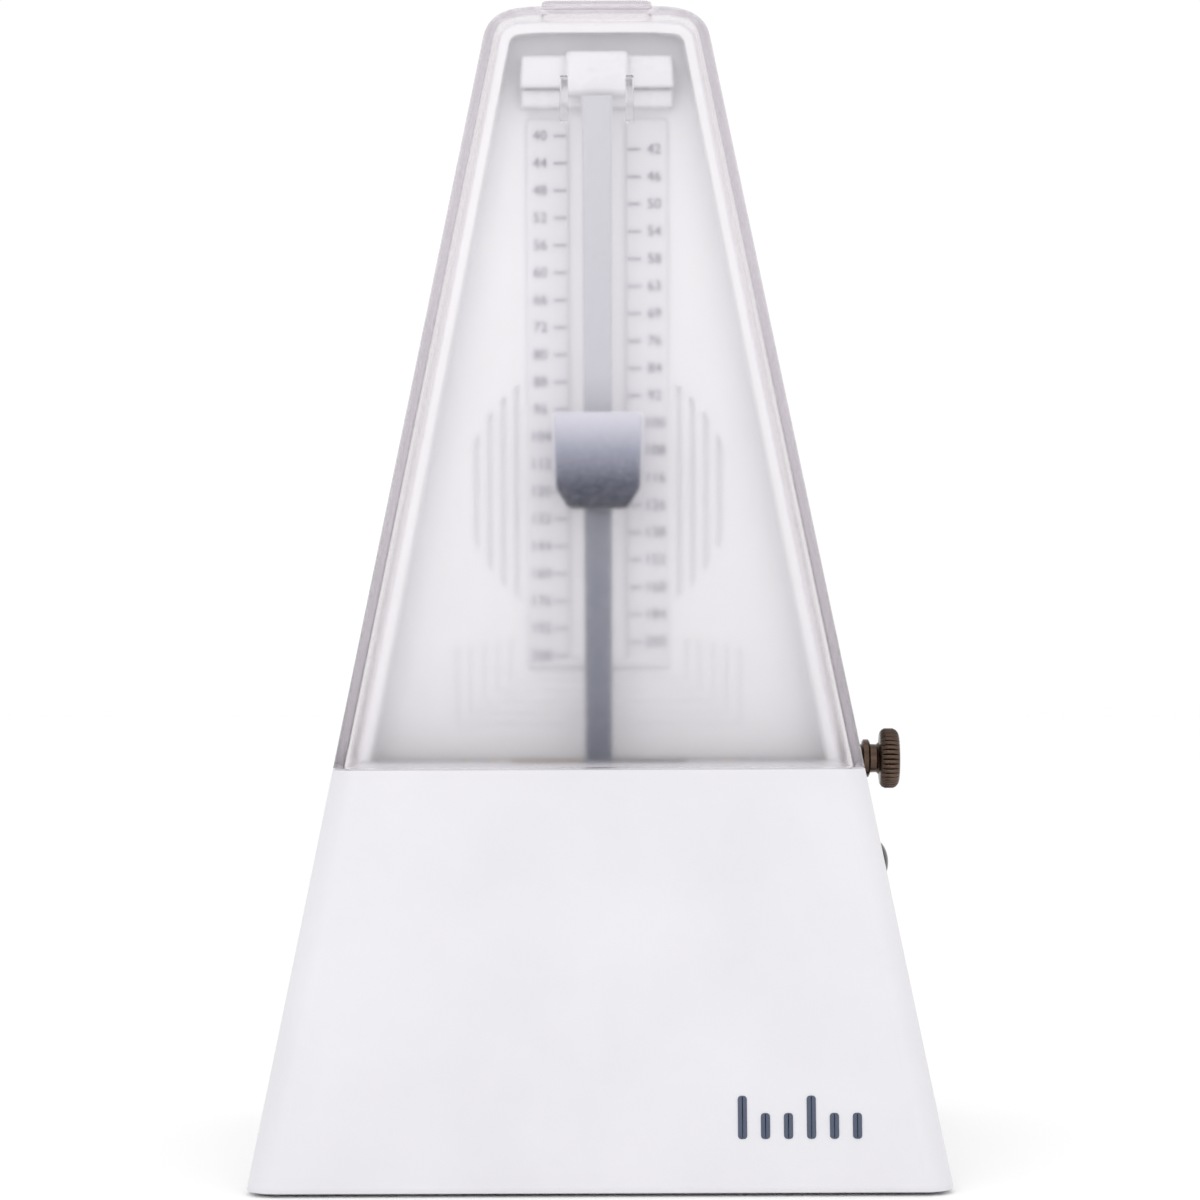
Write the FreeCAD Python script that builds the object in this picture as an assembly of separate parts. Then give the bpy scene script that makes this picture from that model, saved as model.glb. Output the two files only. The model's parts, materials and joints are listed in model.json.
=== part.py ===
import FreeCAD, Part
import math
import os

# Pyramid metronome with a clear front cover, a wind-up verge movement,
# a bell with a beat selector, and a pendulum with a sliding tempo weight.
# Millimetres. The base is centred on the origin, the feet stand on z = 0,
# the front faces -Y and the winding key points along +X.

V = FreeCAD.Vector
ALONG_X = V(1, 0, 0)
ALONG_Y = V(0, 1, 0)
ALONG_Z = V(0, 0, 1)

# Case and cover
base_half = 61.9
total_height = 214.5
taper = 0.1969
case_bottom = 0.6
case_wall = 2.2
cover_wall = 2.4
corner_radius = 5.0
crown_radius = 120.0
shoulder_radius = 7.0
ledge_top = 73.5
seam_y = -11.0
seam_gap = 0.3
grip_half = 10.2

# Face panel and scale
rim_width = 4.7
panel_front = -4.5
panel_back = -2.5
plate_half = 13.2
plate_bottom = 90.8
plate_top = 193.7
plate_slot_half = 5.45
first_row = 190.5
row_pitch = 5.13
left_rows = 20
right_rows = 19
grille_height = 123.9
grille_radius = 24.8
grille_start = 15.2
grille_pitch = 2.53
slot_floor = 1.2

# Pendulum
pivot_height = 46.0
rod_front = -15.0
rod_back = -13.6
rod_top = 196.9
rod_bottom = 12.0
rod_top_half = 2.85
rod_low_half = 2.25
weight_top = 138.1
weight_tall = 17.8
weight_half = 8.35
weight_front = -20.6
weight_back = -11.4

# Movement
key_y = 14.0
key_height = 73.0
plate_x = 24.0
plate_thick = 1.5
great_teeth = 60
great_module = 0.5
second_pinion_teeth = 12
second_teeth = 60
second_module = 0.4
escape_pinion_teeth = 8
crown_teeth = 15
crown_radius_out = 9.6
crown_radius_in = 8.2
tooth_tip_x = 2.2
winding_radius = 2.2
running_gap = 0.05
carrier_y = 37.5
carrier_z = 64.0
bell_z = 26.0
bell_radius = 11.0
selector_z = 53.0

# Fixings inside the case, as (distance from the middle, height) or distances
boss_spot = 52.5
boss_radius = 4.5
boss_top = 14.0
screw_hole = 1.3
lug_spots = [(31.5, 92.0), (17.0, 184.0)]
tab_half = 4.0
tab_x = 28.0
tab_y0 = -45.2
tab_y1 = -43.3

# Scale plate, pallets, click, bell and selector
plate_back = panel_front
plate_front = panel_front - 0.8
pallet_reach = 2.7
pallet_angle = 50.0
crown_mid = (crown_radius_out + crown_radius_in) / 2
pillar_spots = [(2.0, 88.0), (32.0, 86.0), (2.0, 12.0), (38.5, 12.0)]
click_y = key_y + 9.4
click_z = key_height - 0.9
bell_y = carrier_y - 2.8 - bell_radius
stroke = 10.0
yoke_x = 29.0

# The second arbor lies where the two centre distances meet.
great_distance = great_module * (great_teeth + second_pinion_teeth) / 2
escape_distance = second_module * (second_teeth + escape_pinion_teeth) / 2
axis_drop = key_height - pivot_height
second_below = (axis_drop ** 2 + great_distance ** 2 - escape_distance ** 2) / (2 * axis_drop)
second_behind = math.sqrt(great_distance ** 2 - second_below ** 2)
second_y = key_y + second_behind
second_z = key_height - second_below


def half_width(z):
    return base_half - taper * z


def box(x0, x1, y0, y1, z0, z1):
    return Part.makeBox(x1 - x0, y1 - y0, z1 - z0, V(x0, y0, z0))


def bar_x(radius, x0, x1, y, z):
    return Part.makeCylinder(radius, x1 - x0, V(x0, y, z), ALONG_X)


def bar_y(radius, y0, y1, x, z):
    return Part.makeCylinder(radius, y1 - y0, V(x, y0, z), ALONG_Y)


def bar_z(radius, z0, z1, x, y):
    return Part.makeCylinder(radius, z1 - z0, V(x, y, z0), ALONG_Z)


def prism(points, direction):
    wire = Part.makePolygon(points + [points[0]])
    return Part.Face(wire).extrude(direction)


def fuse_all(shapes):
    result = shapes[0]
    for shape in shapes[1:]:
        result = result.fuse(shape)
    return result.removeSplitter()


def cut_all(shape, tools):
    for tool in tools:
        shape = shape.cut(tool)
    return shape


def save(node, shape):
    shape.exportStep("parts/" + node + ".step")


def rounded_square(half, radius, z):
    h = half
    r = radius
    k = r * (1 - math.sqrt(0.5))
    corners = [
        (V(h, r - h, z), V(h - k, k - h, z), V(h - r, -h, z)),
        (V(r - h, -h, z), V(k - h, k - h, z), V(-h, r - h, z)),
        (V(-h, h - r, z), V(k - h, h - k, z), V(r - h, h, z)),
        (V(h - r, h, z), V(h - k, h - k, z), V(h, h - r, z)),
    ]
    edges = []
    for i in range(4):
        start, middle, end = corners[i]
        edges.append(Part.Arc(start, middle, end).toShape())
        edges.append(Part.makeLine(end, corners[(i + 1) % 4][0]))
    return Part.Wire(edges)


def crown_profile(inset):
    # Trapezoid side, round shoulder, shallow arched top, as a face in XZ.
    top = total_height - inset
    arc_radius = crown_radius - inset
    shoulder = shoulder_radius - inset
    lean = math.atan(taper)
    side_inset = inset / math.cos(lean)
    # The shoulder arc is tangent to the side line and to the arched top.
    arc_centre_z = top - arc_radius
    low, high = top - 20.0, top
    for _ in range(60):
        z = (low + high) / 2
        x = half_width(z) - side_inset - shoulder / math.cos(lean)
        reach = math.hypot(x, z - arc_centre_z)
        if reach < arc_radius - shoulder:
            low = z
        else:
            high = z
    shoulder_start = V(x + shoulder * math.cos(lean), 0, z + shoulder * math.sin(lean))
    up = math.atan2(z - arc_centre_z, x)
    shoulder_end = V(x + shoulder * math.cos(up), 0, z + shoulder * math.sin(up))
    bend = (lean + up) / 2
    shoulder_mid = V(x + shoulder * math.cos(bend), 0, z + shoulder * math.sin(bend))
    wide = base_half + 5
    mirror = lambda p: V(-p.x, p.y, p.z)
    edges = [
        Part.makeLine(V(-wide, 0, -5), V(wide, 0, -5)),
        Part.makeLine(V(wide, 0, -5), V(wide, 0, shoulder_start.z)),
        Part.makeLine(V(wide, 0, shoulder_start.z), shoulder_start),
        Part.Arc(shoulder_start, shoulder_mid, shoulder_end).toShape(),
        Part.Arc(shoulder_end, V(0, 0, top), mirror(shoulder_end)).toShape(),
        Part.Arc(mirror(shoulder_end), mirror(shoulder_mid), mirror(shoulder_start)).toShape(),
        Part.makeLine(mirror(shoulder_start), V(-wide, 0, shoulder_start.z)),
        Part.makeLine(V(-wide, 0, shoulder_start.z), V(-wide, 0, -5)),
    ]
    return Part.Face(Part.Wire(edges))


def pyramid(inset):
    # The outer form shrunk by `inset` all round; it runs below z = 0.
    side_inset = inset / math.cos(math.atan(taper))
    radius = max(corner_radius - inset, 1.0)
    low = rounded_square(half_width(-5) - side_inset, radius, -5)
    high = rounded_square(half_width(total_height) - side_inset, radius, total_height)
    body = Part.makeLoft([low, high], True, True)
    across = crown_profile(inset)
    across.translate(V(0, -80, 0))
    crown_a = across.extrude(V(0, 160, 0))
    crown_b = crown_a.copy()
    crown_b.rotate(V(0, 0, 0), ALONG_Z, 90)
    return body.common(crown_a).common(crown_b)


def make_case_shell(outer, inner):
    above_floor = box(-90, 90, -90, 90, case_bottom, 250)
    shell = outer.cut(inner).common(above_floor)
    shell = shell.cut(box(-90, 90, -90, seam_y, ledge_top, 250))
    # The ledge that closes the lower case in front of the seam.
    ledge = inner.common(box(-90, 90, -90, seam_y, ledge_top - case_wall, ledge_top))
    shell = shell.fuse(ledge)
    bosses = []
    for sx in (-1, 1):
        for sy in (-1, 1):
            boss = bar_z(boss_radius, 3.2, boss_top, sx * boss_spot, sy * boss_spot)
            bosses.append(boss.common(outer))
    for x, z in lug_spots:
        for sx in (-1, 1):
            edge = half_width(z) - 1.0
            lug = box(min(sx * (x - 4), sx * edge), max(sx * (x - 4), sx * edge), 3, 6, z - 4, z + 4)
            bosses.append(lug.common(outer))
    for boss in bosses:
        shell = shell.fuse(boss)
    shell = shell.removeSplitter()
    cuts = []
    for sx in (-1, 1):
        for sy in (-1, 1):
            cuts.append(bar_z(screw_hole, 3.0, 12.0, sx * boss_spot, sy * boss_spot))
        for x, z in lug_spots:
            cuts.append(bar_y(1.1, 2, 7, sx * x, z))
        cuts.append(box(sx * tab_x - tab_half - 0.5, sx * tab_x + tab_half + 0.5,
                        tab_y0 - 0.4, tab_y1 + 2.8, ledge_top - 6, ledge_top + 1))
    cuts.append(box(-16, 16, -17, seam_y + 1, ledge_top - 6, ledge_top + 1))
    cuts.append(bar_x(4.05, 40, 60, key_y, key_height))
    cuts.append(bar_x(3.05, 40, 60, key_y, selector_z))
    return cut_all(shell, cuts)


def make_front_cover(outer):
    inner = pyramid(cover_wall)
    region = box(-90, 90, -90, seam_y - seam_gap, ledge_top + seam_gap, 250)
    cover = outer.cut(inner).common(region)
    # A low grip pad moulded on the crown.
    pad = box(-grip_half, grip_half, -17.5, -12.5, total_height - 5, total_height - 0.2)
    pad = pad.makeFillet(1.2, [e for e in pad.Edges if abs(e.BoundBox.ZLength) > 3])
    cover = cover.fuse(pad.cut(inner))
    # Two prongs that steady the resting rod; they stop short of it.
    for sx in (-1, 1):
        front = -half_width(195) + 1.0
        prong = box(min(sx * 5.3, sx * 6.8), max(sx * 5.3, sx * 6.8), front, -16.2, 191.3, 200.0)
        cover = cover.fuse(prong)
    # Hook tabs that hang into the ledge.
    for sx in (-1, 1):
        left = sx * tab_x - tab_half
        tab = box(left, left + 2 * tab_half, tab_y0, tab_y1, ledge_top - 3.6, ledge_top + 3)
        cover = cover.fuse(tab)
    return cover.removeSplitter()


def make_base_plate():
    side = half_width(3) - case_wall / math.cos(math.atan(taper)) - 0.15
    outlines = [rounded_square(side, 3.0, case_bottom), rounded_square(side, 3.0, 3.1)]
    plate = Part.makeLoft(outlines, True, True)
    cuts = []
    for sx in (-1, 1):
        for sy in (-1, 1):
            cuts.append(bar_z(1.6, 0, 4, sx * boss_spot, sy * boss_spot))
            cuts.append(bar_z(3.0, 0, 1.8, sx * boss_spot, sy * boss_spot))
            cuts.append(bar_z(6.1, 0, 1.8, sx * 40, sy * 48))
    for sx in (-1, 1):
        for y in (6, 34):
            cuts.append(bar_z(1.1, 1.4, 4, sx * 30, y))
    for i in range(-3, 4):
        cuts.append(box(-14, 14, -30 + i * 4 - 0.8, -30 + i * 4 + 0.8, 0, 4))
    return cut_all(plate, cuts)


def make_base_screws():
    screws = []
    for sx in (-1, 1):
        for sy in (-1, 1):
            x, y = sx * boss_spot, sy * boss_spot
            head = bar_z(2.7, 0.7, 1.8, x, y)
            shank = bar_z(1.25, 1.8, 11.0, x, y)
            slot = box(x - 2.2, x + 2.2, y - 0.4, y + 0.4, 0.6, 1.2)
            screws.append(head.fuse(shank).cut(slot))
    return Part.makeCompound(screws)


def make_rubber_feet():
    feet = []
    for sx in (-1, 1):
        for sy in (-1, 1):
            foot = bar_z(6.0, 0, 1.7, sx * 40, sy * 48)
            foot = foot.makeChamfer(0.4, [e for e in foot.Edges if e.BoundBox.ZMax < 0.01])
            feet.append(foot)
    return Part.makeCompound(feet)


def make_face_panel():
    outside = pyramid(case_wall + 0.1)
    inside = pyramid(rim_width)
    panel = outside.common(box(-90, 90, seam_y, panel_back, ledge_top + 0.1, 250))
    panel = panel.cut(inside.common(box(-90, 90, seam_y - 1, panel_front, ledge_top - 2, 250)))
    for x, z in lug_spots:
        for sx in (-1, 1):
            panel = panel.fuse(bar_y(2.6, panel_back - 0.5, 2.9, sx * x, z))
    cuts = []
    # Sound slots on each side of the scale, clipped to a circle; each is a
    # shallow groove over a thin floor that lets the sound through.
    circle = bar_y(grille_radius, panel_front - 1, panel_back - slot_floor, 0, grille_height)
    for i in range(4):
        x = grille_start + i * grille_pitch
        for sx in (-1, 1):
            slot = box(sx * x - 0.5, sx * x + 0.5, panel_front - 1, panel_back - slot_floor, 95, 150)
            cuts.append(slot.common(circle))
    # Nested U grooves under the slots.
    for i in range(5):
        x = grille_start + 1.2 + i * grille_pitch
        z = 88.4 - i * 2.1
        top = 96.0 - i * 0.4
        outer_u = box(-x - 0.4, x + 0.4, panel_front - 1, panel_front + 0.4, z - 0.4, top)
        inner_u = box(-x + 0.4, x - 0.4, panel_front - 2, panel_front + 1, z + 0.4, top + 1)
        cuts.append(outer_u.cut(inner_u))
    for x, z in lug_spots:
        for sx in (-1, 1):
            cuts.append(bar_y(0.85, -1.9, 4, sx * x, z))
    # Holes for the screws of the pendulum holder.
    for x in (-11.5, 11.5):
        cuts.append(bar_y(1.05, panel_front - 1, panel_back + 1, x, 202.2))
    return cut_all(panel, cuts)


def make_panel_screws():
    screws = []
    for x, z in lug_spots:
        for sx in (-1, 1):
            head = bar_y(1.9, 6.0, 7.3, sx * x, z)
            screws.append(head.fuse(bar_y(0.8, -1.7, 6.0, sx * x, z)))
    return Part.makeCompound(screws)


def make_scale_plate():
    plate = box(-plate_half, plate_half, plate_front, plate_back, plate_bottom, plate_top)
    plate = plate.makeFillet(1.0, [e for e in plate.Edges if e.BoundBox.YLength > 0.5])
    slot = box(-plate_slot_half, plate_slot_half, plate_front - 1, plate_back + 1,
               plate_bottom + 2, plate_top + 2)
    return plate.cut(slot)


def make_scale_marks():
    marks = []
    for i in range(left_rows):
        z = first_row - i * row_pitch
        marks.append(box(-8.2, -5.8, plate_front - 0.12, plate_front, z - 0.15, z + 0.15))
    for i in range(right_rows):
        z = first_row - (i + 0.5) * row_pitch
        marks.append(box(5.8, 8.2, plate_front - 0.12, plate_front, z - 0.15, z + 0.15))
    return Part.makeCompound(marks)


def make_pendulum_holder():
    # A shelf across the top of the recess, a lower lip, and a centre block.
    face = [V(-14.4, -10.0, 199.0), V(14.4, -10.0, 199.0), V(14.0, -10.0, 205.0), V(-14.0, -10.0, 205.0)]
    shelf = prism(face, V(0, 10.0 + panel_front, 0))
    lip = box(-14.2, 14.2, -8.0, panel_front, 195.6, 199.0)
    block = box(-5.9, 5.9, -12.4, panel_front, 197.4, 205.6)
    block = block.makeFillet(1.2, [e for e in block.Edges if e.BoundBox.YMax < -12.3])
    holder = fuse_all([shelf, lip, block])
    cuts = [bar_y(0.85, -9.0, panel_front + 1, x, 202.2) for x in (-11.5, 11.5)]
    return cut_all(holder, cuts)


def make_holder_screws():
    screws = []
    for x in (-11.5, 11.5):
        shank = bar_y(0.8, -8.8, panel_back, x, 202.2)
        screws.append(shank.fuse(bar_y(1.8, panel_back, panel_back + 1.2, x, 202.2)))
    return Part.makeCompound(screws)


def make_pendulum_rod():
    corners = [V(-rod_low_half, rod_front, rod_bottom), V(rod_low_half, rod_front, rod_bottom),
               V(rod_top_half, rod_front, rod_top), V(-rod_top_half, rod_front, rod_top)]
    rod = prism(corners, V(0, rod_back - rod_front, 0))
    long_front = [e for e in rod.Edges if e.BoundBox.ZLength > 100 and e.BoundBox.YMax < rod_front + 0.1]
    rod = rod.makeChamfer(0.5, long_front)
    holes = [bar_y(0.75, rod_front - 1, rod_back + 1, 0, pivot_height + dz) for dz in (-3.2, 3.2)]
    return cut_all(rod, holes)


def make_pendulum_hub():
    hub = bar_y(5.0, rod_back, -9.5, 0, pivot_height)
    hub = hub.fuse(bar_y(3.0, -9.5, -7.0, 0, pivot_height))
    holes = [bar_y(0.75, rod_back - 1, -11, 0, pivot_height + dz) for dz in (-3.2, 3.2)]
    holes.append(bar_y(1.02, -12.8, -6, 0, pivot_height))
    return cut_all(hub, holes)


def make_rod_rivets():
    rivets = []
    for dz in (-3.2, 3.2):
        head = bar_y(1.3, rod_front - 0.6, rod_front, 0, pivot_height + dz)
        rivets.append(head.fuse(bar_y(0.72, rod_front, -11.2, 0, pivot_height + dz)))
    return Part.makeCompound(rivets)


def make_verge_arbor():
    arbor = bar_y(1.0, -12.6, 31.0, 0, pivot_height)
    return arbor.fuse(bar_y(1.8, -0.5, 0.3, 0, pivot_height)).fuse(bar_y(1.8, 26.8, 27.6, 0, pivot_height))


def make_verge_pallets():
    flags = []
    for side in (-1, 1):
        y = key_y + side * crown_mid
        collar = bar_y(1.7, y - 1.2, y + 1.2, 0, pivot_height)
        flag = box(0.9, pallet_reach, y - 1.2, y + 1.2, pivot_height - 0.35, pivot_height + 0.35)
        flag.rotate(V(0, 0, pivot_height), ALONG_Y, side * pallet_angle)
        flags.append(collar.fuse(flag).cut(bar_y(1.0, y - 3, y + 3, 0, pivot_height)))
    return Part.makeCompound(flags)


def make_lower_bob():
    bob = box(-12, 12, -21.5, -8.5, 10, 35.5)
    bob = bob.makeFillet(3.0, [e for e in bob.Edges if e.BoundBox.YLength > 5])
    bob = bob.makeChamfer(0.8, [e for e in bob.Edges if e.BoundBox.YLength < 0.01])
    return bob.cut(box(-2.6, 2.6, rod_front - 0.02, rod_back + 0.02, 11, 40))


def make_tempo_weight():
    z0 = weight_top - weight_tall
    cut = 2.8
    outline = [V(-weight_half, weight_front, z0 + cut), V(-weight_half + cut, weight_front, z0),
               V(weight_half - cut, weight_front, z0), V(weight_half, weight_front, z0 + cut),
               V(weight_half, weight_front, weight_top), V(-weight_half, weight_front, weight_top)]
    body = prism(outline, V(0, weight_back - weight_front, 0))
    front = [e for e in body.Edges if e.BoundBox.YMax < weight_front + 0.01]
    body = body.makeChamfer(0.9, front)
    channel = box(-3.1, 3.1, rod_front - 0.1, rod_back + 0.9, z0 - 1, weight_top + 1)
    return body.cut(channel)


def make_weight_spring():
    # A bowed leaf behind the rod, kept clear of it by a hair.
    z0 = weight_top - weight_tall
    points = [V(0, rod_back + 0.75, z0 + 2.5), V(0, rod_back + 0.42, z0 + weight_tall / 2),
              V(0, rod_back + 0.75, weight_top - 2.5)]
    front = Part.Arc(*points).toShape()
    back = front.copy()
    back.translate(V(0, 0.14, 0))
    ends = [Part.makeLine(front.Vertexes[i].Point, back.Vertexes[i].Point) for i in (0, 1)]
    face = Part.Face(Part.Wire(Part.__sortEdges__([front, ends[0], back, ends[1]])))
    face.translate(V(-2.2, 0, 0))
    return face.extrude(V(4.4, 0, 0))


def turn_to_x(shape, y, z, x):
    # Shapes drawn about +Z are turned to lie along +X at (x, y, z).
    placed = shape.copy()
    placed.Placement = FreeCAD.Placement(V(x, y, z), FreeCAD.Rotation(V(1, 1, 1), 120))
    return placed


def gear(teeth, module, width, bore, first_tooth):
    # Plain straight teeth, thin enough to run freely; `first_tooth` in degrees.
    pitch_radius = module * teeth / 2
    tip = pitch_radius + 0.85 * module
    root = pitch_radius - 1.2 * module
    step = 2 * math.pi / teeth
    points = []
    for i in range(teeth):
        centre = math.radians(first_tooth) + i * step
        for radius, turn in ((root, -0.27), (tip, -0.10), (tip, 0.10), (root, 0.27)):
            a = centre + turn * step
            points.append(V(radius * math.cos(a), radius * math.sin(a), 0))
    return prism(points, V(0, 0, width)).cut(bar_z(bore, -1, width + 1, 0, 0))


# Direction from the winding arbor to the second arbor, and on to the escape arbor.
to_second = math.degrees(math.atan2(second_z - key_height, second_y - key_y))
to_escape = math.degrees(math.atan2(pivot_height - second_z, key_y - second_y))


def make_barrel_drum():
    great = turn_to_x(gear(great_teeth, great_module, 1.5, winding_radius + running_gap, to_second),
                      key_y, key_height, -5.0)
    drum = bar_x(13.0, -20.0, -5.0, key_y, key_height).cut(bar_x(12.0, -21.0, -5.0, key_y, key_height))
    return great.fuse(drum)


def make_barrel_lid():
    lid = bar_x(13.0, -21.2, -20.0, key_y, key_height)
    return lid.cut(bar_x(winding_radius + running_gap, -22, -19, key_y, key_height))


def make_mainspring():
    # A flat spiral strip, five and a half turns.
    turns, inner_r, outer_r, strip = 5.5, 3.4, 11.4, 0.45
    count = 90
    near, far = [], []
    for i in range(count + 1):
        t = i / count
        a = t * turns * 2 * math.pi
        r = inner_r + (outer_r - inner_r) * t
        near.append(V(r * math.cos(a), r * math.sin(a), 0))
        far.append(V((r + strip) * math.cos(a), (r + strip) * math.sin(a), 0))
    inner_curve = Part.BSplineCurve()
    inner_curve.interpolate(near)
    outer_curve = Part.BSplineCurve()
    outer_curve.interpolate(far)
    wire = Part.Wire([inner_curve.toShape(), Part.makeLine(near[-1], far[-1]),
                      outer_curve.toShape(), Part.makeLine(far[0], near[0])])
    strip_shape = Part.Face(wire).extrude(V(0, 0, 13.0))
    return turn_to_x(strip_shape, key_y, key_height, -19.0)


def make_winding_arbor():
    arbor = bar_x(winding_radius, -27.0, 47.5, key_y, key_height)
    return arbor.fuse(bar_x(1.6, 47.5, 55.0, key_y, key_height))


def make_ratchet_wheel():
    teeth = 24
    points = []
    for i in range(teeth):
        a = math.radians(i * 360 / teeth)
        b = math.radians((i + 0.9) * 360 / teeth)
        points.append(V(6.8 * math.cos(a), 6.8 * math.sin(a), 0))
        points.append(V(5.8 * math.cos(b), 5.8 * math.sin(b), 0))
    wheel = prism(points, V(0, 0, 1.5)).cut(bar_z(winding_radius, -1, 3, 0, 0))
    return turn_to_x(wheel, key_y, key_height, 26.2)


def make_winding_key():
    # Neck, turned collar and knurled disc in one piece.
    parts = [bar_x(2.7, 48.0, 54.2, key_y, key_height), bar_x(3.65, 50.6, 52.0, key_y, key_height)]
    disc = bar_x(5.75, 53.9, 57.7, key_y, key_height)
    rims = [e for e in disc.Edges if e.Length > 20]
    parts.append(disc.makeChamfer(0.5, rims))
    key = fuse_all(parts)
    cuts = [bar_x(1.62, 47, 55.2, key_y, key_height)]
    for i in range(36):
        notch = box(53, 59, -0.22, 0.22, 5.45, 6.5)
        notch.rotate(V(0, 0, 0), ALONG_X, i * 10)
        notch.translate(V(0, key_y, key_height))
        cuts.append(notch)
    return key.cut(Part.makeCompound(cuts[1:])).cut(cuts[0])


def make_second_arbor():
    arbor = bar_x(1.2, -23.7, 23.7, second_y, second_z)
    return arbor.fuse(bar_x(0.8, -25.5, 25.5, second_y, second_z))


def make_second_pinion():
    phase = to_second + 180 + 180 / second_pinion_teeth
    pinion = gear(second_pinion_teeth, great_module, 4.0, 1.2, phase)
    return turn_to_x(pinion, second_y, second_z, -6.3)


def make_second_wheel():
    wheel = gear(second_teeth, second_module, 1.5, 1.2, to_escape)
    holes = []
    for i in range(5):
        a = math.radians(i * 72)
        holes.append(bar_z(2.6, -1, 3, 6.6 * math.cos(a), 6.6 * math.sin(a)))
    return turn_to_x(cut_all(wheel, holes), second_y, second_z, 14.0)


def make_bell_cam():
    # Four lobed discs for two, three, four and six beats, on one sleeve.
    sleeve = bar_z(1.9, 0, 9.2, 0, 0)
    for i, lobes in enumerate((2, 3, 4, 6)):
        disc = bar_z(2.4, 0.4 + i * 2.5, 1.6 + i * 2.5, 0, 0)
        for k in range(lobes):
            lobe = box(0, 3.3, -0.6, 0.6, 0.4 + i * 2.5, 1.6 + i * 2.5)
            lobe.rotate(V(0, 0, 0), ALONG_Z, k * 360 / lobes)
            disc = disc.fuse(lobe)
        sleeve = sleeve.fuse(disc)
    sleeve = sleeve.removeSplitter().cut(bar_z(1.2, -1, 12, 0, 0))
    return turn_to_x(sleeve, second_y, second_z, 1.0)


def make_escape_arbor():
    arbor = bar_x(1.0, 4.6, 23.7, key_y, pivot_height)
    return arbor.fuse(bar_x(0.8, 23.7, 25.5, key_y, pivot_height))


def make_escape_pinion():
    phase = to_escape + 180 + 180 / escape_pinion_teeth
    pinion = gear(escape_pinion_teeth, second_module, 4.5, 1.0, phase)
    return turn_to_x(pinion, key_y, pivot_height, 12.5)


def make_crown_wheel():
    web = bar_z(crown_radius_out, 5.0, 6.0, 0, 0)
    spokes = []
    for i in range(4):
        a = math.radians(45 + i * 90)
        spokes.append(bar_z(2.0, 4, 7, 5.2 * math.cos(a), 5.2 * math.sin(a)))
    web = cut_all(web, spokes)
    web = web.fuse(bar_z(2.0, 4.6, 7.4, 0, 0))
    rim = bar_z(crown_radius_out, 4.2, 5.0, 0, 0).cut(bar_z(crown_radius_in, 4, 6, 0, 0))
    wheel = web.fuse(rim)
    ring = bar_z(crown_radius_out, 0, 4.3, 0, 0).cut(bar_z(crown_radius_in, -1, 6, 0, 0))
    for i in range(crown_teeth):
        tooth = prism([V(7, -1.6, 4.3), V(7, 1.6, 4.3), V(7, 1.5, tooth_tip_x), V(7, 1.1, tooth_tip_x)],
                      V(4, 0, 0))
        tooth.rotate(V(0, 0, 0), ALONG_Z, (i + 0.5) * 360 / crown_teeth)
        wheel = wheel.fuse(tooth.common(ring))
    wheel = wheel.removeSplitter().cut(bar_z(1.0, 0, 9, 0, 0))
    return turn_to_x(wheel, key_y, pivot_height, 0)


# Plates, brackets and fixings


def make_movement_plate(side):
    inner, outer = plate_x, plate_x + plate_thick
    outline = [(-1.0, 3.1), (41.5, 3.1), (41.5, 74.0), (35.5, 90.5), (-1.0, 90.5)]
    plate = prism([V(inner, y, z) for y, z in outline], V(plate_thick, 0, 0))
    flange = box(inner, inner + 11, -1.0, 41.5, 3.1, 4.6)
    plate = plate.fuse(flange).removeSplitter()
    holes = [bar_x(winding_radius + running_gap, inner - 1, outer + 1, key_y, key_height)]
    holes.append(bar_x(0.85, inner - 1, outer + 1, second_y, second_z))
    holes.append(bar_x(1.55, inner - 1, outer + 1, carrier_y, carrier_z))
    for y, z in pillar_spots:
        holes.append(bar_x(1.05, inner - 1, outer + 1, y, z))
    for y in (6, 34):
        holes.append(bar_z(1.05, 3, 5, 30, y))
    holes.append(bar_x(1.05, inner - 1, outer + 1, 2.5, 41.5))
    if side > 0:
        holes.append(bar_x(0.85, inner - 1, outer + 1, key_y, pivot_height))
        holes.append(bar_x(1.05, inner - 1, outer + 1, 37.5 - 2.8 - bell_radius, bell_z))
        holes.append(bar_x(1.05, inner - 1, outer + 1, 6.5, 38.5))
        holes.append(bar_x(1.05, inner - 1, outer + 1, click_y, click_z))
        holes.append(bar_x(0.65, inner - 1, outer + 1, click_y - 1.0, click_z - 11.0))
    else:
        holes.append(bar_x(1.05, inner - 1, outer + 1, 33.5, 46.0))
    plate = cut_all(plate, holes)
    if side < 0:
        plate = plate.mirror(V(0, 0, 0), ALONG_X)
    return plate


def make_movement_pillars():
    pillars = []
    for y, z in pillar_spots:
        pillar = bar_x(2.2, -plate_x, plate_x, y, z)
        for x0, x1 in ((-plate_x - 1, -plate_x + 6), (plate_x - 6, plate_x + 1)):
            pillar = pillar.cut(bar_x(1.0, x0, x1, y, z))
        pillars.append(pillar)
    return Part.makeCompound(pillars)


def screw_x(x, direction, y, z, head_radius, shank_radius, length):
    # Head outside the face at x, shank reaching inwards.
    if direction > 0:
        head = bar_x(head_radius, x, x + 1.3, y, z)
        shank = bar_x(shank_radius, x - length, x, y, z)
    else:
        head = bar_x(head_radius, x - 1.3, x, y, z)
        shank = bar_x(shank_radius, x, x + length, y, z)
    return head.fuse(shank)


def make_pillar_screws():
    screws = []
    for y, z in pillar_spots:
        screws.append(screw_x(plate_x + plate_thick, 1, y, z, 2.0, 0.95, 6.5))
        screws.append(screw_x(-plate_x - plate_thick, -1, y, z, 2.0, 0.95, 6.5))
    return Part.makeCompound(screws)


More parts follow.
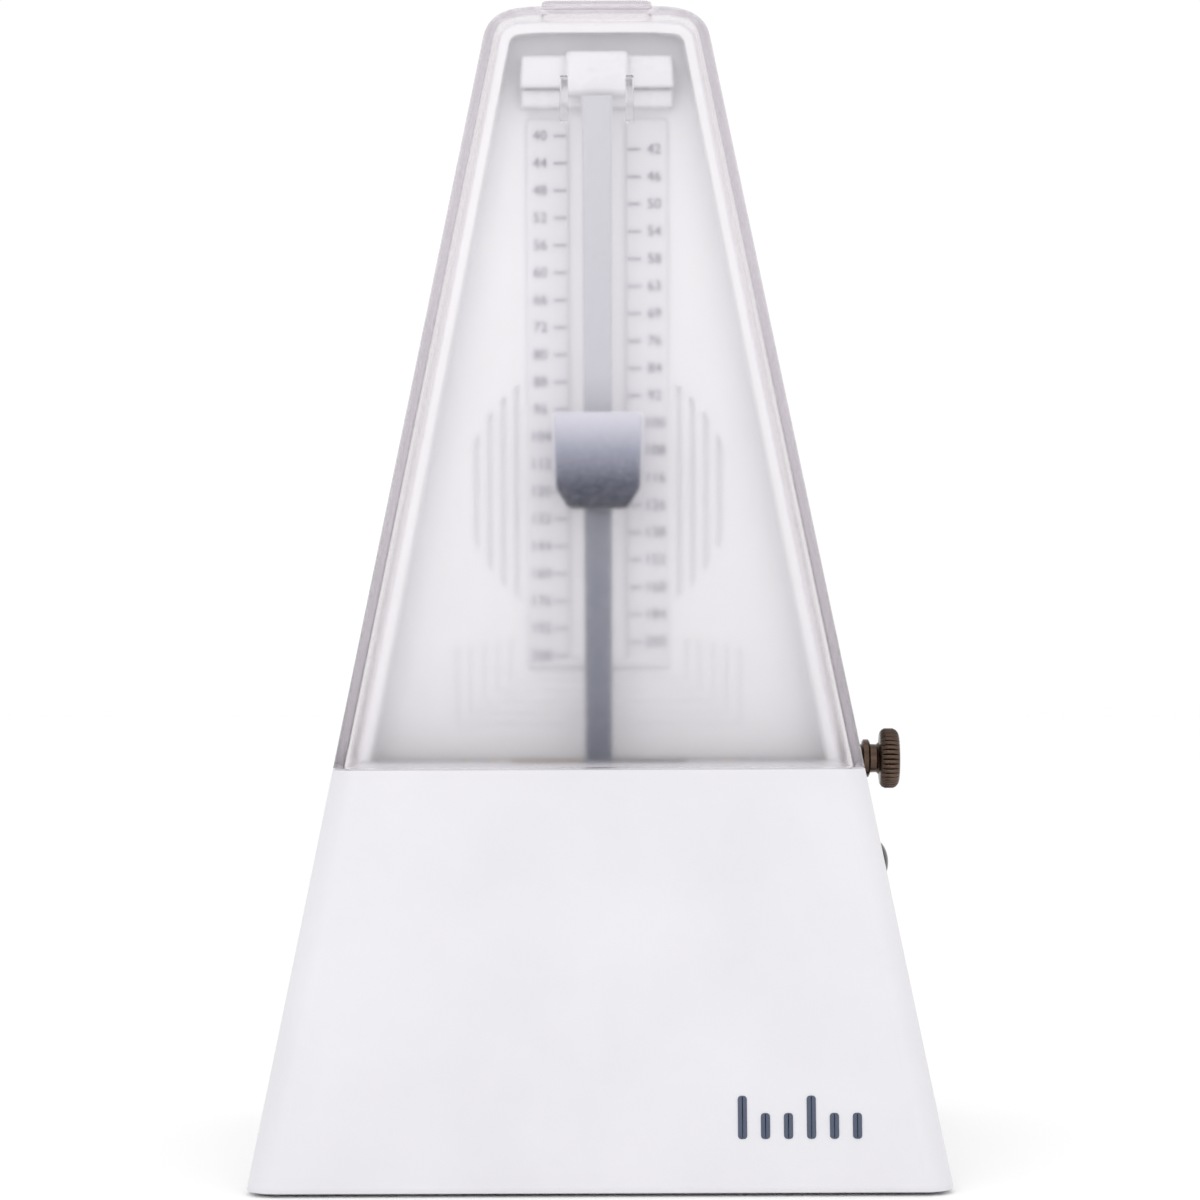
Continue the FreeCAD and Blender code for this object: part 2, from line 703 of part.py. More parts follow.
def make_movement_screws():
    screws = []
    for sx in (-1, 1):
        for y in (6, 34):
            screws.append(bar_z(2.0, 4.6, 5.9, sx * 30, y).fuse(bar_z(0.95, 1.6, 4.6, sx * 30, y)))
    return Part.makeCompound(screws)


def make_verge_front_bracket():
    strap = box(-plate_x, plate_x, -3.0, -1.5, 39.0, 50.0)
    for sx in (-1, 1):
        inner = sx * (plate_x - 1.5)
        strap = strap.fuse(box(min(inner, sx * plate_x), max(inner, sx * plate_x), -3.0, 5.0, 39.0, 44.0))
    cuts = [bar_y(1.0 + running_gap, -4, 0, 0, pivot_height)]
    for sx in (-1, 1):
        cuts.append(bar_x(0.85, sx * 23.2 - 2, sx * 23.2 + 2, 2.5, 41.5))
    return cut_all(strap.removeSplitter(), cuts)


def make_verge_rear_bracket():
    strap = box(-plate_x, 5.0, 28.0, 29.5, 40.0, 52.0)
    strap = strap.fuse(box(-plate_x, -plate_x + 1.5, 28.0, 37.0, 42.0, 50.0)).removeSplitter()
    cuts = [bar_y(1.0 + running_gap, 27, 31, 0, pivot_height), bar_x(0.85, -25, -21, 33.5, 46.0)]
    return cut_all(strap, cuts)


def make_escape_bracket():
    # Holds the inner end of the escape arbor, carried by a leg from the right plate.
    post = box(8.0, 9.5, 3.0, 18.0, 36.0, 50.0)
    leg = box(9.5, plate_x, 3.0, 4.5, 36.0, 39.5)
    foot = box(plate_x - 1.5, plate_x, 3.0, 9.5, 36.0, 39.0 + 2.0)
    bracket = fuse_all([post, leg, foot])
    cuts = [bar_x(1.0 + running_gap, 7, 10, key_y, pivot_height), bar_x(0.85, 21, 25, 6.5, 38.5)]
    # Cut back so that the front strap's tab and the crown wheel stay clear.
    cuts.append(box(plate_x - 2, plate_x + 1, 2.0, 5.2, 39.0, 45.0))
    return cut_all(bracket, cuts)


def make_bracket_screws():
    screws = [screw_x(plate_x + plate_thick, 1, 2.5, 41.5, 1.7, 0.8, 3.0),
              screw_x(-plate_x - plate_thick, -1, 2.5, 41.5, 1.7, 0.8, 3.0),
              screw_x(-plate_x - plate_thick, -1, 33.5, 46.0, 1.7, 0.8, 3.0),
              screw_x(plate_x + plate_thick, 1, 6.5, 38.5, 1.7, 0.8, 3.0)]
    return Part.makeCompound(screws)


# Bell, hammer and selector


def make_bell():
    # A shallow cup on its side: closed end towards the right plate.
    half_profile = [(7.0, bell_radius), (14.0, bell_radius), (18.5, bell_radius - 2.2),
                    (20.0, 5.0), (20.0, 1.55), (19.0, 1.55), (19.0, 4.6),
                    (17.7, bell_radius - 3.2), (13.6, bell_radius - 1.0), (7.0, bell_radius - 1.0)]
    points = [V(x, bell_y + r, bell_z) for x, r in half_profile]
    face = Part.Face(Part.makePolygon(points + [points[0]]))
    return face.revolve(V(0, bell_y, bell_z), ALONG_X, 360)


def make_bell_post():
    post = bar_x(2.6, 20.0, plate_x, bell_y, bell_z)
    post = post.fuse(bar_x(1.5, 16.0, 20.0, bell_y, bell_z))
    return post.fuse(bar_x(1.0, plate_x, plate_x + plate_thick, bell_y, bell_z))


def make_bell_nut():
    points = []
    for i in range(6):
        a = math.radians(60 * i)
        points.append(V(17.2, bell_y + 2.9 * math.cos(a), bell_z + 2.9 * math.sin(a)))
    return prism(points, V(1.8, 0, 0)).cut(bar_x(1.5, 16, 20, bell_y, bell_z))


def make_selector_rod():
    return bar_x(1.5, yoke_x, 54.0, key_y, selector_z)


def make_selector_knob():
    body = bar_x(4.5, 52.45, 53.4, key_y, selector_z)
    dome = Part.makeSphere(5.6, V(50.1, key_y, selector_z))
    cap = bar_x(4.5, 53.4, 56.0, key_y, selector_z).common(dome)
    return body.fuse(cap).removeSplitter().cut(bar_x(1.5, 51, 54.0, key_y, selector_z))


def make_selector_yoke():
    reach = math.hypot(carrier_y - key_y, carrier_z - selector_z)
    lean = math.degrees(math.atan2(carrier_z - selector_z, carrier_y - key_y))
    strip = box(yoke_x, yoke_x + 1.5, 0, reach, -3, 3)
    strip.rotate(V(0, 0, 0), ALONG_X, lean)
    strip.translate(V(0, key_y, selector_z))
    yoke = fuse_all([strip, bar_x(3, yoke_x, yoke_x + 1.5, key_y, selector_z),
                     bar_x(3, yoke_x, yoke_x + 1.5, carrier_y, carrier_z)])
    cuts = [bar_x(1.5, yoke_x - 1, yoke_x + 3, key_y, selector_z),
            bar_x(1.5, yoke_x - 1, yoke_x + 3, carrier_y, carrier_z)]
    return cut_all(yoke, cuts)


def make_carrier_rod():
    rod = bar_x(1.5, -plate_x - plate_thick - stroke, yoke_x + 1.5, carrier_y, carrier_z)
    left_collar = bar_x(2.6, -3.6, -2.3, carrier_y, carrier_z)
    right_collar = bar_x(2.6, 9.3, 10.6, carrier_y, carrier_z)
    return rod.fuse(left_collar).fuse(right_collar)


def make_hammer_arm():
    hub = bar_x(2.8, -2.0, 9.0, carrier_y, carrier_z)
    arm = box(7.0, 9.0, carrier_y - 0.8, carrier_y + 0.8, bell_z - 1.6, carrier_z - 1.5)
    tip_y = second_y + 3.4 + 0.9
    tip = [V(-1.1, carrier_y - 1.0, carrier_z + 1.6), V(-1.1, tip_y, second_z + 2.6),
           V(-1.1, tip_y, second_z + 0.8), V(-1.1, carrier_y - 1.0, carrier_z - 1.2)]
    finger = prism(tip, V(1.2, 0, 0))
    return fuse_all([hub, arm, finger]).cut(bar_x(1.5 + running_gap, -3, 10, carrier_y, carrier_z))


def make_hammer_head():
    head = bar_y(2.2, carrier_y - 2.0, carrier_y + 2.4, 8.0, bell_z)
    return head.cut(box(7.0, 9.0, carrier_y - 0.8, carrier_y + 0.8, bell_z - 1.6, bell_z + 3))


# Click work on the right plate
def make_click():
    # A hooked pawl whose nose lies in a gap of the ratchet wheel.
    hook = [(6.25, 42.5), (7.6, 43.4), (8.5, 35.0), (9.6, 12.0), (9.6, -8.0), (7.15, -4.0), (7.15, 33.0)]
    points = []
    for radius, degrees in hook:
        a = math.radians(degrees)
        points.append(V(26.2, key_y + radius * math.cos(a), key_height + radius * math.sin(a)))
    arm = prism(points, V(1.5, 0, 0))
    eye = bar_x(2.2, 26.2, 27.7, click_y, click_z)
    tail = box(26.2, 27.7, click_y, click_y + 1.2, click_z - 5.2, click_z - 1.0)
    return fuse_all([arm, eye, tail]).cut(bar_x(1.05, 25, 29, click_y, click_z))


def make_click_screw():
    shank = bar_x(1.0, plate_x, 28.0, click_y, click_z)
    collar = bar_x(1.6, plate_x + plate_thick, 26.0, click_y, click_z)
    return fuse_all([shank, collar, bar_x(2.0, 28.0, 29.2, click_y, click_z)])


def make_click_spring():
    y = click_y - 1.0
    wire = box(26.6, 27.2, y - 0.2, y + 0.2, click_z - 11.0, click_z - 3.0)
    pin = bar_x(0.6, plate_x, 27.6, y, click_z - 11.0)
    return wire.fuse(pin).removeSplitter()


def make_wall_bushing(radius, bore, z, reach):
    # A flanged sleeve through the right wall, nowhere proud of its slanted outside.
    sleeve = bar_x(radius, 43.0, reach, key_y, z).common(pyramid(0))
    sleeve = sleeve.fuse(bar_x(radius + 1.2, 42.0, 43.4, key_y, z)).removeSplitter()
    return sleeve.cut(bar_x(bore, 40, 62, key_y, z))


def make_beat_mark():
    # A plain row of raised bars, tall for the first beat and short for the rest.
    bars = []
    for i in range(6):
        tall = 7.5 if i % 3 == 0 else 4.5
        x = 24.0 + i * 4.0
        bar = box(x, x + 1.6, -0.25, 0.5, 10.0, 10.0 + tall)
        bar.rotate(V(0, 0, 0), ALONG_X, -math.degrees(math.atan(taper)))
        bar.translate(V(0, -base_half, 0))
        bars.append(bar.cut(pyramid(0)))
    return Part.makeCompound(bars)


def build():
    os.makedirs("parts", exist_ok=True)
    outer = pyramid(0)
    inner = pyramid(case_wall)
    save("case_shell", make_case_shell(outer, inner))
    save("front_cover", make_front_cover(outer))
    save("base_plate", make_base_plate())
    save("base_screws", make_base_screws())
    save("rubber_feet", make_rubber_feet())
    save("face_panel", make_face_panel())
    save("panel_screws", make_panel_screws())
    save("scale_plate", make_scale_plate())
    save("scale_marks", make_scale_marks())
    save("pendulum_holder", make_pendulum_holder())
    save("holder_screws", make_holder_screws())
    save("pendulum_rod", make_pendulum_rod())
    save("pendulum_hub", make_pendulum_hub())
    save("rod_rivets", make_rod_rivets())
    save("verge_arbor", make_verge_arbor())
    save("verge_pallets", make_verge_pallets())
    save("lower_bob", make_lower_bob())
    save("tempo_weight", make_tempo_weight())
    save("weight_spring", make_weight_spring())
    save("barrel_drum", make_barrel_drum())
    save("barrel_lid", make_barrel_lid())
    save("mainspring", make_mainspring())
    save("winding_arbor", make_winding_arbor())
    save("ratchet_wheel", make_ratchet_wheel())
    save("winding_key", make_winding_key())
    save("second_arbor", make_second_arbor())
    save("second_pinion", make_second_pinion())
    save("second_wheel", make_second_wheel())
    save("bell_cam", make_bell_cam())
    save("escape_arbor", make_escape_arbor())
    save("escape_pinion", make_escape_pinion())
    save("crown_wheel", make_crown_wheel())
    save("movement_plate_left", make_movement_plate(-1))
    save("movement_plate_right", make_movement_plate(1))
    save("movement_pillars", make_movement_pillars())
    save("pillar_screws", make_pillar_screws())
    save("movement_screws", make_movement_screws())
    save("verge_front_bracket", make_verge_front_bracket())
    save("verge_rear_bracket", make_verge_rear_bracket())
    save("escape_bracket", make_escape_bracket())
    save("bracket_screws", make_bracket_screws())
    save("bell", make_bell())
    save("bell_post", make_bell_post())
    save("bell_nut", make_bell_nut())
    save("selector_rod", make_selector_rod())
    save("selector_knob", make_selector_knob())
    save("selector_yoke", make_selector_yoke())
    save("carrier_rod", make_carrier_rod())
    save("hammer_arm", make_hammer_arm())
    save("hammer_head", make_hammer_head())
    save("click", make_click())
    save("click_screw", make_click_screw())
    save("click_spring", make_click_spring())
    save("key_bushing", make_wall_bushing(4.0, winding_radius + running_gap, key_height, 47.85))
    save("selector_bushing", make_wall_bushing(3.0, 1.5 + running_gap, selector_z, 52.3))
    save("beat_mark", make_beat_mark())


build()
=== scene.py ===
import json
import math
import bmesh
import bpy
import numpy as np
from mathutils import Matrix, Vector


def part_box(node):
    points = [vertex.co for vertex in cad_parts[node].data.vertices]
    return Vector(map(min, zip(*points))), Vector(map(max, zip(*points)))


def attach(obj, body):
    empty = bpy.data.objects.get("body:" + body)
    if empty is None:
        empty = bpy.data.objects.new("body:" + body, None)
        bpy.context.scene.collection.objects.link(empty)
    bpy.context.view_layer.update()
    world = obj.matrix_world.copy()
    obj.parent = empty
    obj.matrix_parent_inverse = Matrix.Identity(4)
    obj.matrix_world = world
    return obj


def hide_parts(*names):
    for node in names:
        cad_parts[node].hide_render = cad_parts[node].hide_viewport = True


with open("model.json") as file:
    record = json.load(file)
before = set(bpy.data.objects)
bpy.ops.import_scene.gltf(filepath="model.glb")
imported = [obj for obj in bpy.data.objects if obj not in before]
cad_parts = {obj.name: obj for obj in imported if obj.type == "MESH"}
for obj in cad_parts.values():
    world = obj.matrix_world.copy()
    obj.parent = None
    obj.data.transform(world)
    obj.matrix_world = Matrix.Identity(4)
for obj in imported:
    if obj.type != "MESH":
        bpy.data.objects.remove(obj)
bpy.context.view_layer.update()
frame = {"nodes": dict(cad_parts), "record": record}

# Pyramid metronome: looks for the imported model. Metres, front towards -Y.

mm = 0.001
pyramid = {
    "half": 0.0619, "taper": 0.1969, "top": 0.2145, "arch": 0.120, "shoulder": 0.007,
    "corner": 0.005, "bottom": 0.0006, "ledge": 0.0735, "seam": -0.011,
}
coverWall = 0.0024


def mid(node):
    # middle of a node's box
    low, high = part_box(node)
    return (low + high) / 2


def makeMesh(name, points, faces, sharp=35):
    # a smooth-shaded object from points and faces; edges past sharp degrees
    # stay crisp
    mesh = bpy.data.meshes.new(name)
    mesh.from_pydata([tuple(p) for p in np.asarray(points, float)], [], [list(f) for f in faces])
    mesh.validate()
    mesh.update()
    piece = bpy.data.objects.new(name, mesh)
    bpy.context.scene.collection.objects.link(piece)
    cleanUp(piece)
    mesh.shade_smooth()
    mesh.set_sharp_from_angle(angle=math.radians(sharp))
    return piece


def cleanUp(piece, gap=1e-6):
    # joins doubled points and turns every face outwards
    work = bmesh.new()
    work.from_mesh(piece.data)
    bmesh.ops.remove_doubles(work, verts=work.verts, dist=gap)
    bmesh.ops.recalc_face_normals(work, faces=work.faces)
    work.to_mesh(piece.data)
    work.free()


def gridFaces(rows, cols, aroundCols=False):
    # quads between neighbouring rows and columns of a point grid, whose
    # last column meets the first when aroundCols
    r = np.arange(rows - 1)[:, None]
    c = np.arange(cols if aroundCols else cols - 1)[None, :]
    n = (c + 1) % cols
    quads = np.stack([r * cols + c, r * cols + n, (r + 1) * cols + n, (r + 1) * cols + c], axis=-1)
    return quads.reshape(-1, 4).tolist()


def joined(*parts):
    # several (points, faces) pairs as one
    points, faces, count = [], [], 0
    for somePoints, someFaces in parts:
        somePoints = np.asarray(somePoints, float).reshape(-1, 3)
        points.append(somePoints)
        faces += [[i + count for i in f] for f in someFaces]
        count += len(somePoints)
    return np.concatenate(points), faces


def softOutline(corners, cut, steps=5, inset=0.0):
    # A polygon moved inwards by inset, each corner replaced by a curve that
    # leaves its sides at distance cut: B(t) = (1-t)^2 a + 2t(1-t) p + t^2 b.
    p = np.asarray(corners, float)
    before, after = np.roll(p, 1, 0), np.roll(p, -1, 0)
    d1 = (p - before) / np.linalg.norm(p - before, axis=1, keepdims=True)
    d2 = (after - p) / np.linalg.norm(after - p, axis=1, keepdims=True)
    turn = d1[:, 0] * d2[:, 1] - d1[:, 1] * d2[:, 0]
    n1 = np.stack([-d1[:, 1], d1[:, 0]], 1)
    share = (1 - (d1 * d2).sum(1)) / np.where(np.abs(turn) < 1e-9, 1, turn)
    p = p + inset * (n1 + d1 * -share[:, None])
    cut = np.broadcast_to(np.asarray(cut, float), (len(p),))[:, None, None]
    t = np.linspace(0, 1, steps)[None, :, None]
    a, b = p[:, None] - d1[:, None] * cut, p[:, None] + d2[:, None] * cut
    curve = (1 - t) ** 2 * a + 2 * t * (1 - t) * p[:, None] + t ** 2 * b
    return curve.reshape(-1, 2)


def slabParts(corners, low, high, edge, cut, plane="xz", steps=5, edgeSteps=4, edgeLow=None):
    # A soft outline carried from low to high along the third axis; at each
    # end it draws in along a quarter circle of radius edge.
    edgeLow = edge if edgeLow is None else edgeLow
    a = np.linspace(0, math.pi / 2, edgeSteps)
    along = np.concatenate([low + edgeLow * (1 - np.cos(a)), high - edge * (1 - np.cos(a[::-1]))])
    insets = np.concatenate([edgeLow * (1 - np.sin(a)), edge * (1 - np.sin(a[::-1]))])
    rings = [softOutline(corners, cut, steps, i) for i in insets]
    size = len(rings[0])
    points = []
    for ring, s in zip(rings, along):
        if plane == "xz":
            points.append(np.stack([ring[:, 0], np.full(size, s), ring[:, 1]], 1))
        elif plane == "yz":
            points.append(np.stack([np.full(size, s), ring[:, 0], ring[:, 1]], 1))
        else:
            points.append(np.stack([ring[:, 0], ring[:, 1], np.full(size, s)], 1))
    points = np.concatenate(points)
    faces = gridFaces(len(rings), size, True)
    faces.append(list(range(size)))
    faces.append(list(range(len(points) - 1, len(points) - 1 - size, -1)))
    return points, faces


def turnedParts(profile, centre, around=96, ripple=0.0, teeth=0, band=(0, 0), upright=False):
    # A profile of (along, radius) carried round the X axis, or round Z when
    # upright. Inside band the radius dips in even waves, for a knurled rim.
    p = np.asarray(profile, float)
    angle = np.linspace(0, 2 * math.pi, around, endpoint=False)[None, :]
    radius = np.repeat(p[:, 1:2], around, 1)
    inBand = ((p[:, 0] >= band[0]) & (p[:, 0] <= band[1]))[:, None]
    wave = np.abs(np.sin(angle * teeth / 2)) ** 0.6 - 1 if teeth else 0 * angle
    radius = radius + np.where(inBand & (radius > 1e-5), ripple * wave, 0)
    x = np.repeat(p[:, 0:1], around, 1)
    if upright:
        points = np.stack([centre[0] + radius * np.cos(angle), centre[1] + radius * np.sin(angle), x], -1)
    else:
        points = np.stack([x, centre[1] + radius * np.cos(angle), centre[2] + radius * np.sin(angle)], -1)
    return points.reshape(-1, 3), gridFaces(len(p), around, True)


def finished(piece, body, slotName, material, *nodes):
    # gives a piece its material, its body and the nodes it stands in for
    piece.data.materials.clear()
    piece.data.materials.append(material)
    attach(piece, body)
    if nodes:
        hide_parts(*nodes)
    return piece


class Look:
    # one Principled surface with its node helpers
    def __init__(self, name, colour, rough, metal=0.0):
        self.material = bpy.data.materials.new(name)
        self.material.use_nodes = True
        self.tree = self.material.node_tree
        self.shader = self.tree.nodes["Principled BSDF"]
        self.shader.inputs["Base Color"].default_value = (*colour, 1)
        self.shader.inputs["Roughness"].default_value = rough
        self.shader.inputs["Metallic"].default_value = metal
        self.coords = self.tree.nodes.new("ShaderNodeTexCoord")

    def noise(self, scale, detail=3, rough=0.55, stretch=None):
        # soft noise on Object coordinates, stretched along the axes if asked
        node = self.tree.nodes.new("ShaderNodeTexNoise")
        node.inputs["Scale"].default_value = scale
        node.inputs["Detail"].default_value = detail
        node.inputs["Roughness"].default_value = rough
        source = self.coords.outputs["Object"]
        if stretch:
            mapping = self.tree.nodes.new("ShaderNodeMapping")
            mapping.inputs["Scale"].default_value = stretch
            self.tree.links.new(source, mapping.inputs["Vector"])
            source = mapping.outputs["Vector"]
        self.tree.links.new(source, node.inputs["Vector"])
        return node.outputs["Fac"]

    def ramp(self, factor, stops):
        # colours at (place, colour) stops along a factor
        node = self.tree.nodes.new("ShaderNodeValToRGB")
        ramp = node.color_ramp
        while len(ramp.elements) < len(stops):
            ramp.elements.new(0.5)
        for element, (place, colour) in zip(ramp.elements, stops):
            element.position = place
            element.color = (*colour, 1) if len(colour) == 3 else colour
        self.tree.links.new(factor, node.inputs["Fac"])
        return node.outputs["Color"]

    def spread(self, factor, low, high):
        # the middle of a noise's range carried on to low..high
        node = self.tree.nodes.new("ShaderNodeMapRange")
        node.inputs["From Min"].default_value = 0.3
        node.inputs["From Max"].default_value = 0.7
        node.inputs["To Min"].default_value = low
        node.inputs["To Max"].default_value = high
        self.tree.links.new(factor, node.inputs["Value"])
        return node.outputs["Result"]

    def bump(self, factor, strength, distance):
        # small relief from a factor
        node = self.tree.nodes.new("ShaderNodeBump")
        node.inputs["Strength"].default_value = strength
        node.inputs["Distance"].default_value = distance
        self.tree.links.new(factor, node.inputs["Height"])
        self.tree.links.new(node.outputs["Normal"], self.shader.inputs["Normal"])

    def link(self, output, socket):
        # an output into one of the shader's sockets
        self.tree.links.new(output, self.shader.inputs[socket])


def mouldedPlastic(name, low, high, rough, grain=2600, depth=0.00003):
    # near-even colour, slow mottling, fine moulded grain
    look = Look(name, high, rough)
    look.link(look.ramp(look.noise(35, 4), [(0.35, low), (0.65, high)]), "Base Color")
    look.link(look.spread(look.noise(90, 4), rough - 0.05, rough + 0.06), "Roughness")
    look.bump(look.noise(grain, 2), 0.25, depth)
    look.shader.inputs["IOR"].default_value = 1.5
    return look.material


def brushedMetal(name, dark, light, rough, stretch=(1, 1, 1), scale=900):
    # fine lines along one axis, with slow tone changes
    look = Look(name, light, rough, 1.0)
    look.link(look.ramp(look.noise(70, 4), [(0.3, dark), (0.7, light)]), "Base Color")
    look.link(look.spread(look.noise(scale, 3, 0.6, stretch), rough - 0.08, rough + 0.1), "Roughness")
    look.bump(look.noise(scale, 3, 0.6, stretch), 0.12, 0.00002)
    return look.material


# the last three entries set the painted highlight along the front edges of the rod and weight
paint = {"fleckScale": 5200, "gloss": 0.3, "highlightStart": 0.00018, "highlightFull": 0.0005,
         "highlightColour": (0.80, 0.80, 0.84, 1)}


def fleckedPaint(name, node, shadeTones, fleck, rough, highlightStrength):
    # metallic paint with fine light specks; painted shade darkens it down the
    # height of its node, shadeTones being (share of the height, colour), and a painted highlight runs along
    # its front edges
    low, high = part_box(node)
    look = Look(name, shadeTones[-1][1], rough)
    look.shader.inputs["Specular IOR Level"].default_value = paint["gloss"]
    split = look.tree.nodes.new("ShaderNodeSeparateXYZ")
    look.tree.links.new(look.coords.outputs["Object"], split.inputs["Vector"])
    climb = look.tree.nodes.new("ShaderNodeMapRange")
    climb.inputs["From Min"].default_value = low.z
    climb.inputs["From Max"].default_value = high.z
    look.tree.links.new(split.outputs["Z"], climb.inputs["Value"])
    # painted shade: the colour darkens towards the bottom of the node
    tone = look.ramp(climb.outputs["Result"], shadeTones)
    specks = look.tree.nodes.new("ShaderNodeTexVoronoi")
    specks.inputs["Scale"].default_value = paint["fleckScale"]
    look.tree.links.new(look.coords.outputs["Object"], specks.inputs["Vector"])
    shine = look.ramp(specks.outputs["Color"], [(0.55, (0, 0, 0)), (1.0, (0.3, 0.3, 0.3))])
    mix = look.tree.nodes.new("ShaderNodeMix")
    mix.data_type = "RGBA"
    look.tree.links.new(shine, mix.inputs["Factor"])
    look.tree.links.new(tone, mix.inputs[6])
    mix.inputs[7].default_value = (*fleck, 1)
    # a painted highlight along the rounded front edges, weaker lower down
    edgeHighlight = look.tree.nodes.new("ShaderNodeMapRange")
    edgeHighlight.inputs["From Min"].default_value = low.y + paint["highlightStart"]
    edgeHighlight.inputs["From Max"].default_value = low.y + paint["highlightFull"]
    edgeHighlight.inputs["To Max"].default_value = highlightStrength
    look.tree.links.new(split.outputs["Y"], edgeHighlight.inputs["Value"])
    highlightShare = look.tree.nodes.new("ShaderNodeMath")
    highlightShare.operation = "MULTIPLY"
    # painted shade on the highlight: it grows fainter towards the bottom
    fade = look.ramp(climb.outputs["Result"], [(0.05, (0.25, 0.25, 0.25)), (0.45, (1, 1, 1))])
    look.tree.links.new(edgeHighlight.outputs["Result"], highlightShare.inputs[0])
    look.tree.links.new(fade, highlightShare.inputs[1])
    edge = look.tree.nodes.new("ShaderNodeMix")
    edge.data_type = "RGBA"
    look.tree.links.new(highlightShare.outputs["Value"], edge.inputs["Factor"])
    look.tree.links.new(mix.outputs[2], edge.inputs[6])
    edge.inputs[7].default_value = paint["highlightColour"]
    look.link(edge.outputs[2], "Base Color")
    look.link(look.spread(look.noise(1500, 2), rough - 0.08, rough + 0.1), "Roughness")
    look.bump(specks.outputs["Distance"], 0.15, 0.00002)
    return look.material


clear = {"ior": 1.26, "shine": (0.985, 0.98, 0.985, 1), "soft": 0.0006,
         "edgeTint": (0.80, 0.755, 0.79, 1), "edgeDepth": 12}


def frostedClear(name, tint, deep, rough):
    # clear moulded plastic, faintly tinted, with a fine satin surface that
    # lets lamps shine through
    look = Look(name, tint, rough)
    look.shader.inputs["Transmission Weight"].default_value = 1.0
    look.shader.inputs["IOR"].default_value = clear["ior"]
    look.link(look.spread(look.noise(700, 3), rough - 0.02, rough + 0.02), "Roughness")
    nodes, links = look.tree.nodes, look.tree.links

    def sums(kind, first, second):
        # one arithmetic step on two values, each a number or an output
        node = nodes.new("ShaderNodeMath")
        node.operation = kind
        for socket, value in zip(node.inputs, (first, second)):
            if isinstance(value, float):
                socket.default_value = value
            else:
                links.new(value, socket)
        return node.outputs["Value"]

    def fade(value, far):
        # 0 well inside the wall, 1 from its inner face outwards
        node = nodes.new("ShaderNodeMapRange")
        node.inputs["From Min"].default_value = far - clear["soft"]
        node.inputs["From Max"].default_value = far
        links.new(value, node.inputs["Value"])
        return node.outputs["Result"]

    # side walls and crown carry more of the tint than the thin front: the
    # mask is |x| + taper * z near the sides and z + x * x / (2 * arch) near the top
    split = nodes.new("ShaderNodeSeparateXYZ")
    links.new(look.coords.outputs["Object"], split.inputs["Vector"])
    across, height = split.outputs["X"], split.outputs["Z"]
    sides = sums("ADD", sums("ABSOLUTE", across, 0.0), sums("MULTIPLY", height, pyramid["taper"]))
    crown = sums("ADD", height, sums("MULTIPLY", sums("MULTIPLY", across, across), 0.5 / pyramid["arch"]))
    inSides = fade(sides, pyramid["half"] - coverWall)
    inCrown = fade(crown, pyramid["top"] - coverWall)
    share = sums("MAXIMUM", inSides, inCrown)
    look.link(look.ramp(share, [(0.0, tint), (1.0, deep)]), "Base Color")
    look.bump(look.noise(2400, 2), 0.12, 0.00002)
    path = nodes.new("ShaderNodeLightPath")
    either = nodes.new("ShaderNodeMath")
    either.operation = "MAXIMUM"
    links.new(path.outputs["Is Shadow Ray"], either.inputs[0])
    links.new(path.outputs["Is Diffuse Ray"], either.inputs[1])
    through = nodes.new("ShaderNodeBsdfTransparent")
    through.inputs["Color"].default_value = clear["shine"]
    mix = nodes.new("ShaderNodeMixShader")
    links.new(either.outputs["Value"], mix.inputs["Fac"])
    links.new(look.shader.outputs["BSDF"], mix.inputs[1])
    links.new(through.outputs["BSDF"], mix.inputs[2])
    links.new(mix.outputs["Shader"], nodes["Material Output"].inputs["Surface"])
    # the tint gathers where a wall is seen edge-on
    depth = nodes.new("ShaderNodeVolumeAbsorption")
    depth.inputs["Color"].default_value = clear["edgeTint"]
    depth.inputs["Density"].default_value = clear["edgeDepth"]
    links.new(depth.outputs["Volume"], nodes["Material Output"].inputs["Volume"])
    return look.material


casePlastic = mouldedPlastic("casePlastic", (0.68, 0.67, 0.70), (0.71, 0.70, 0.73), 0.38)
basePlastic = mouldedPlastic("basePlastic", (0.66, 0.65, 0.67), (0.72, 0.71, 0.73), 0.5)
# panelPlastic is the case's white plastic made lighter as painted light, making up for the light the clear
# cover holds back from the panel
panelPlastic = mouldedPlastic("panelPlastic", (0.79, 0.785, 0.80), (0.81, 0.805, 0.82), 0.42)
holderPlastic = mouldedPlastic("holderPlastic", (0.73, 0.725, 0.745), (0.76, 0.755, 0.775), 0.25)
scaleFinish = mouldedPlastic("scaleFinish", (0.71, 0.705, 0.73), (0.75, 0.745, 0.77), 0.35, 3400)
inkFinish = mouldedPlastic("inkFinish", (0.16, 0.165, 0.20), (0.20, 0.205, 0.24), 0.5, 4000)
markFinish = mouldedPlastic("markFinish", (0.045, 0.06, 0.10), (0.06, 0.08, 0.13), 0.4, 4000)
knobBlack = mouldedPlastic("knobBlack", (0.010, 0.010, 0.012), (0.018, 0.018, 0.02), 0.16, 1500)
footRubber = mouldedPlastic("footRubber", (0.02, 0.02, 0.02), (0.035, 0.035, 0.035), 0.75, 1800, 0.00008)
coverClear = frostedClear("coverClear", (1.0, 0.994, 0.998), (0.80, 0.77, 0.79), 0.2)
padClear = frostedClear("padClear", (1.0, 0.994, 0.998), (0.97, 0.95, 0.965), 0.2)
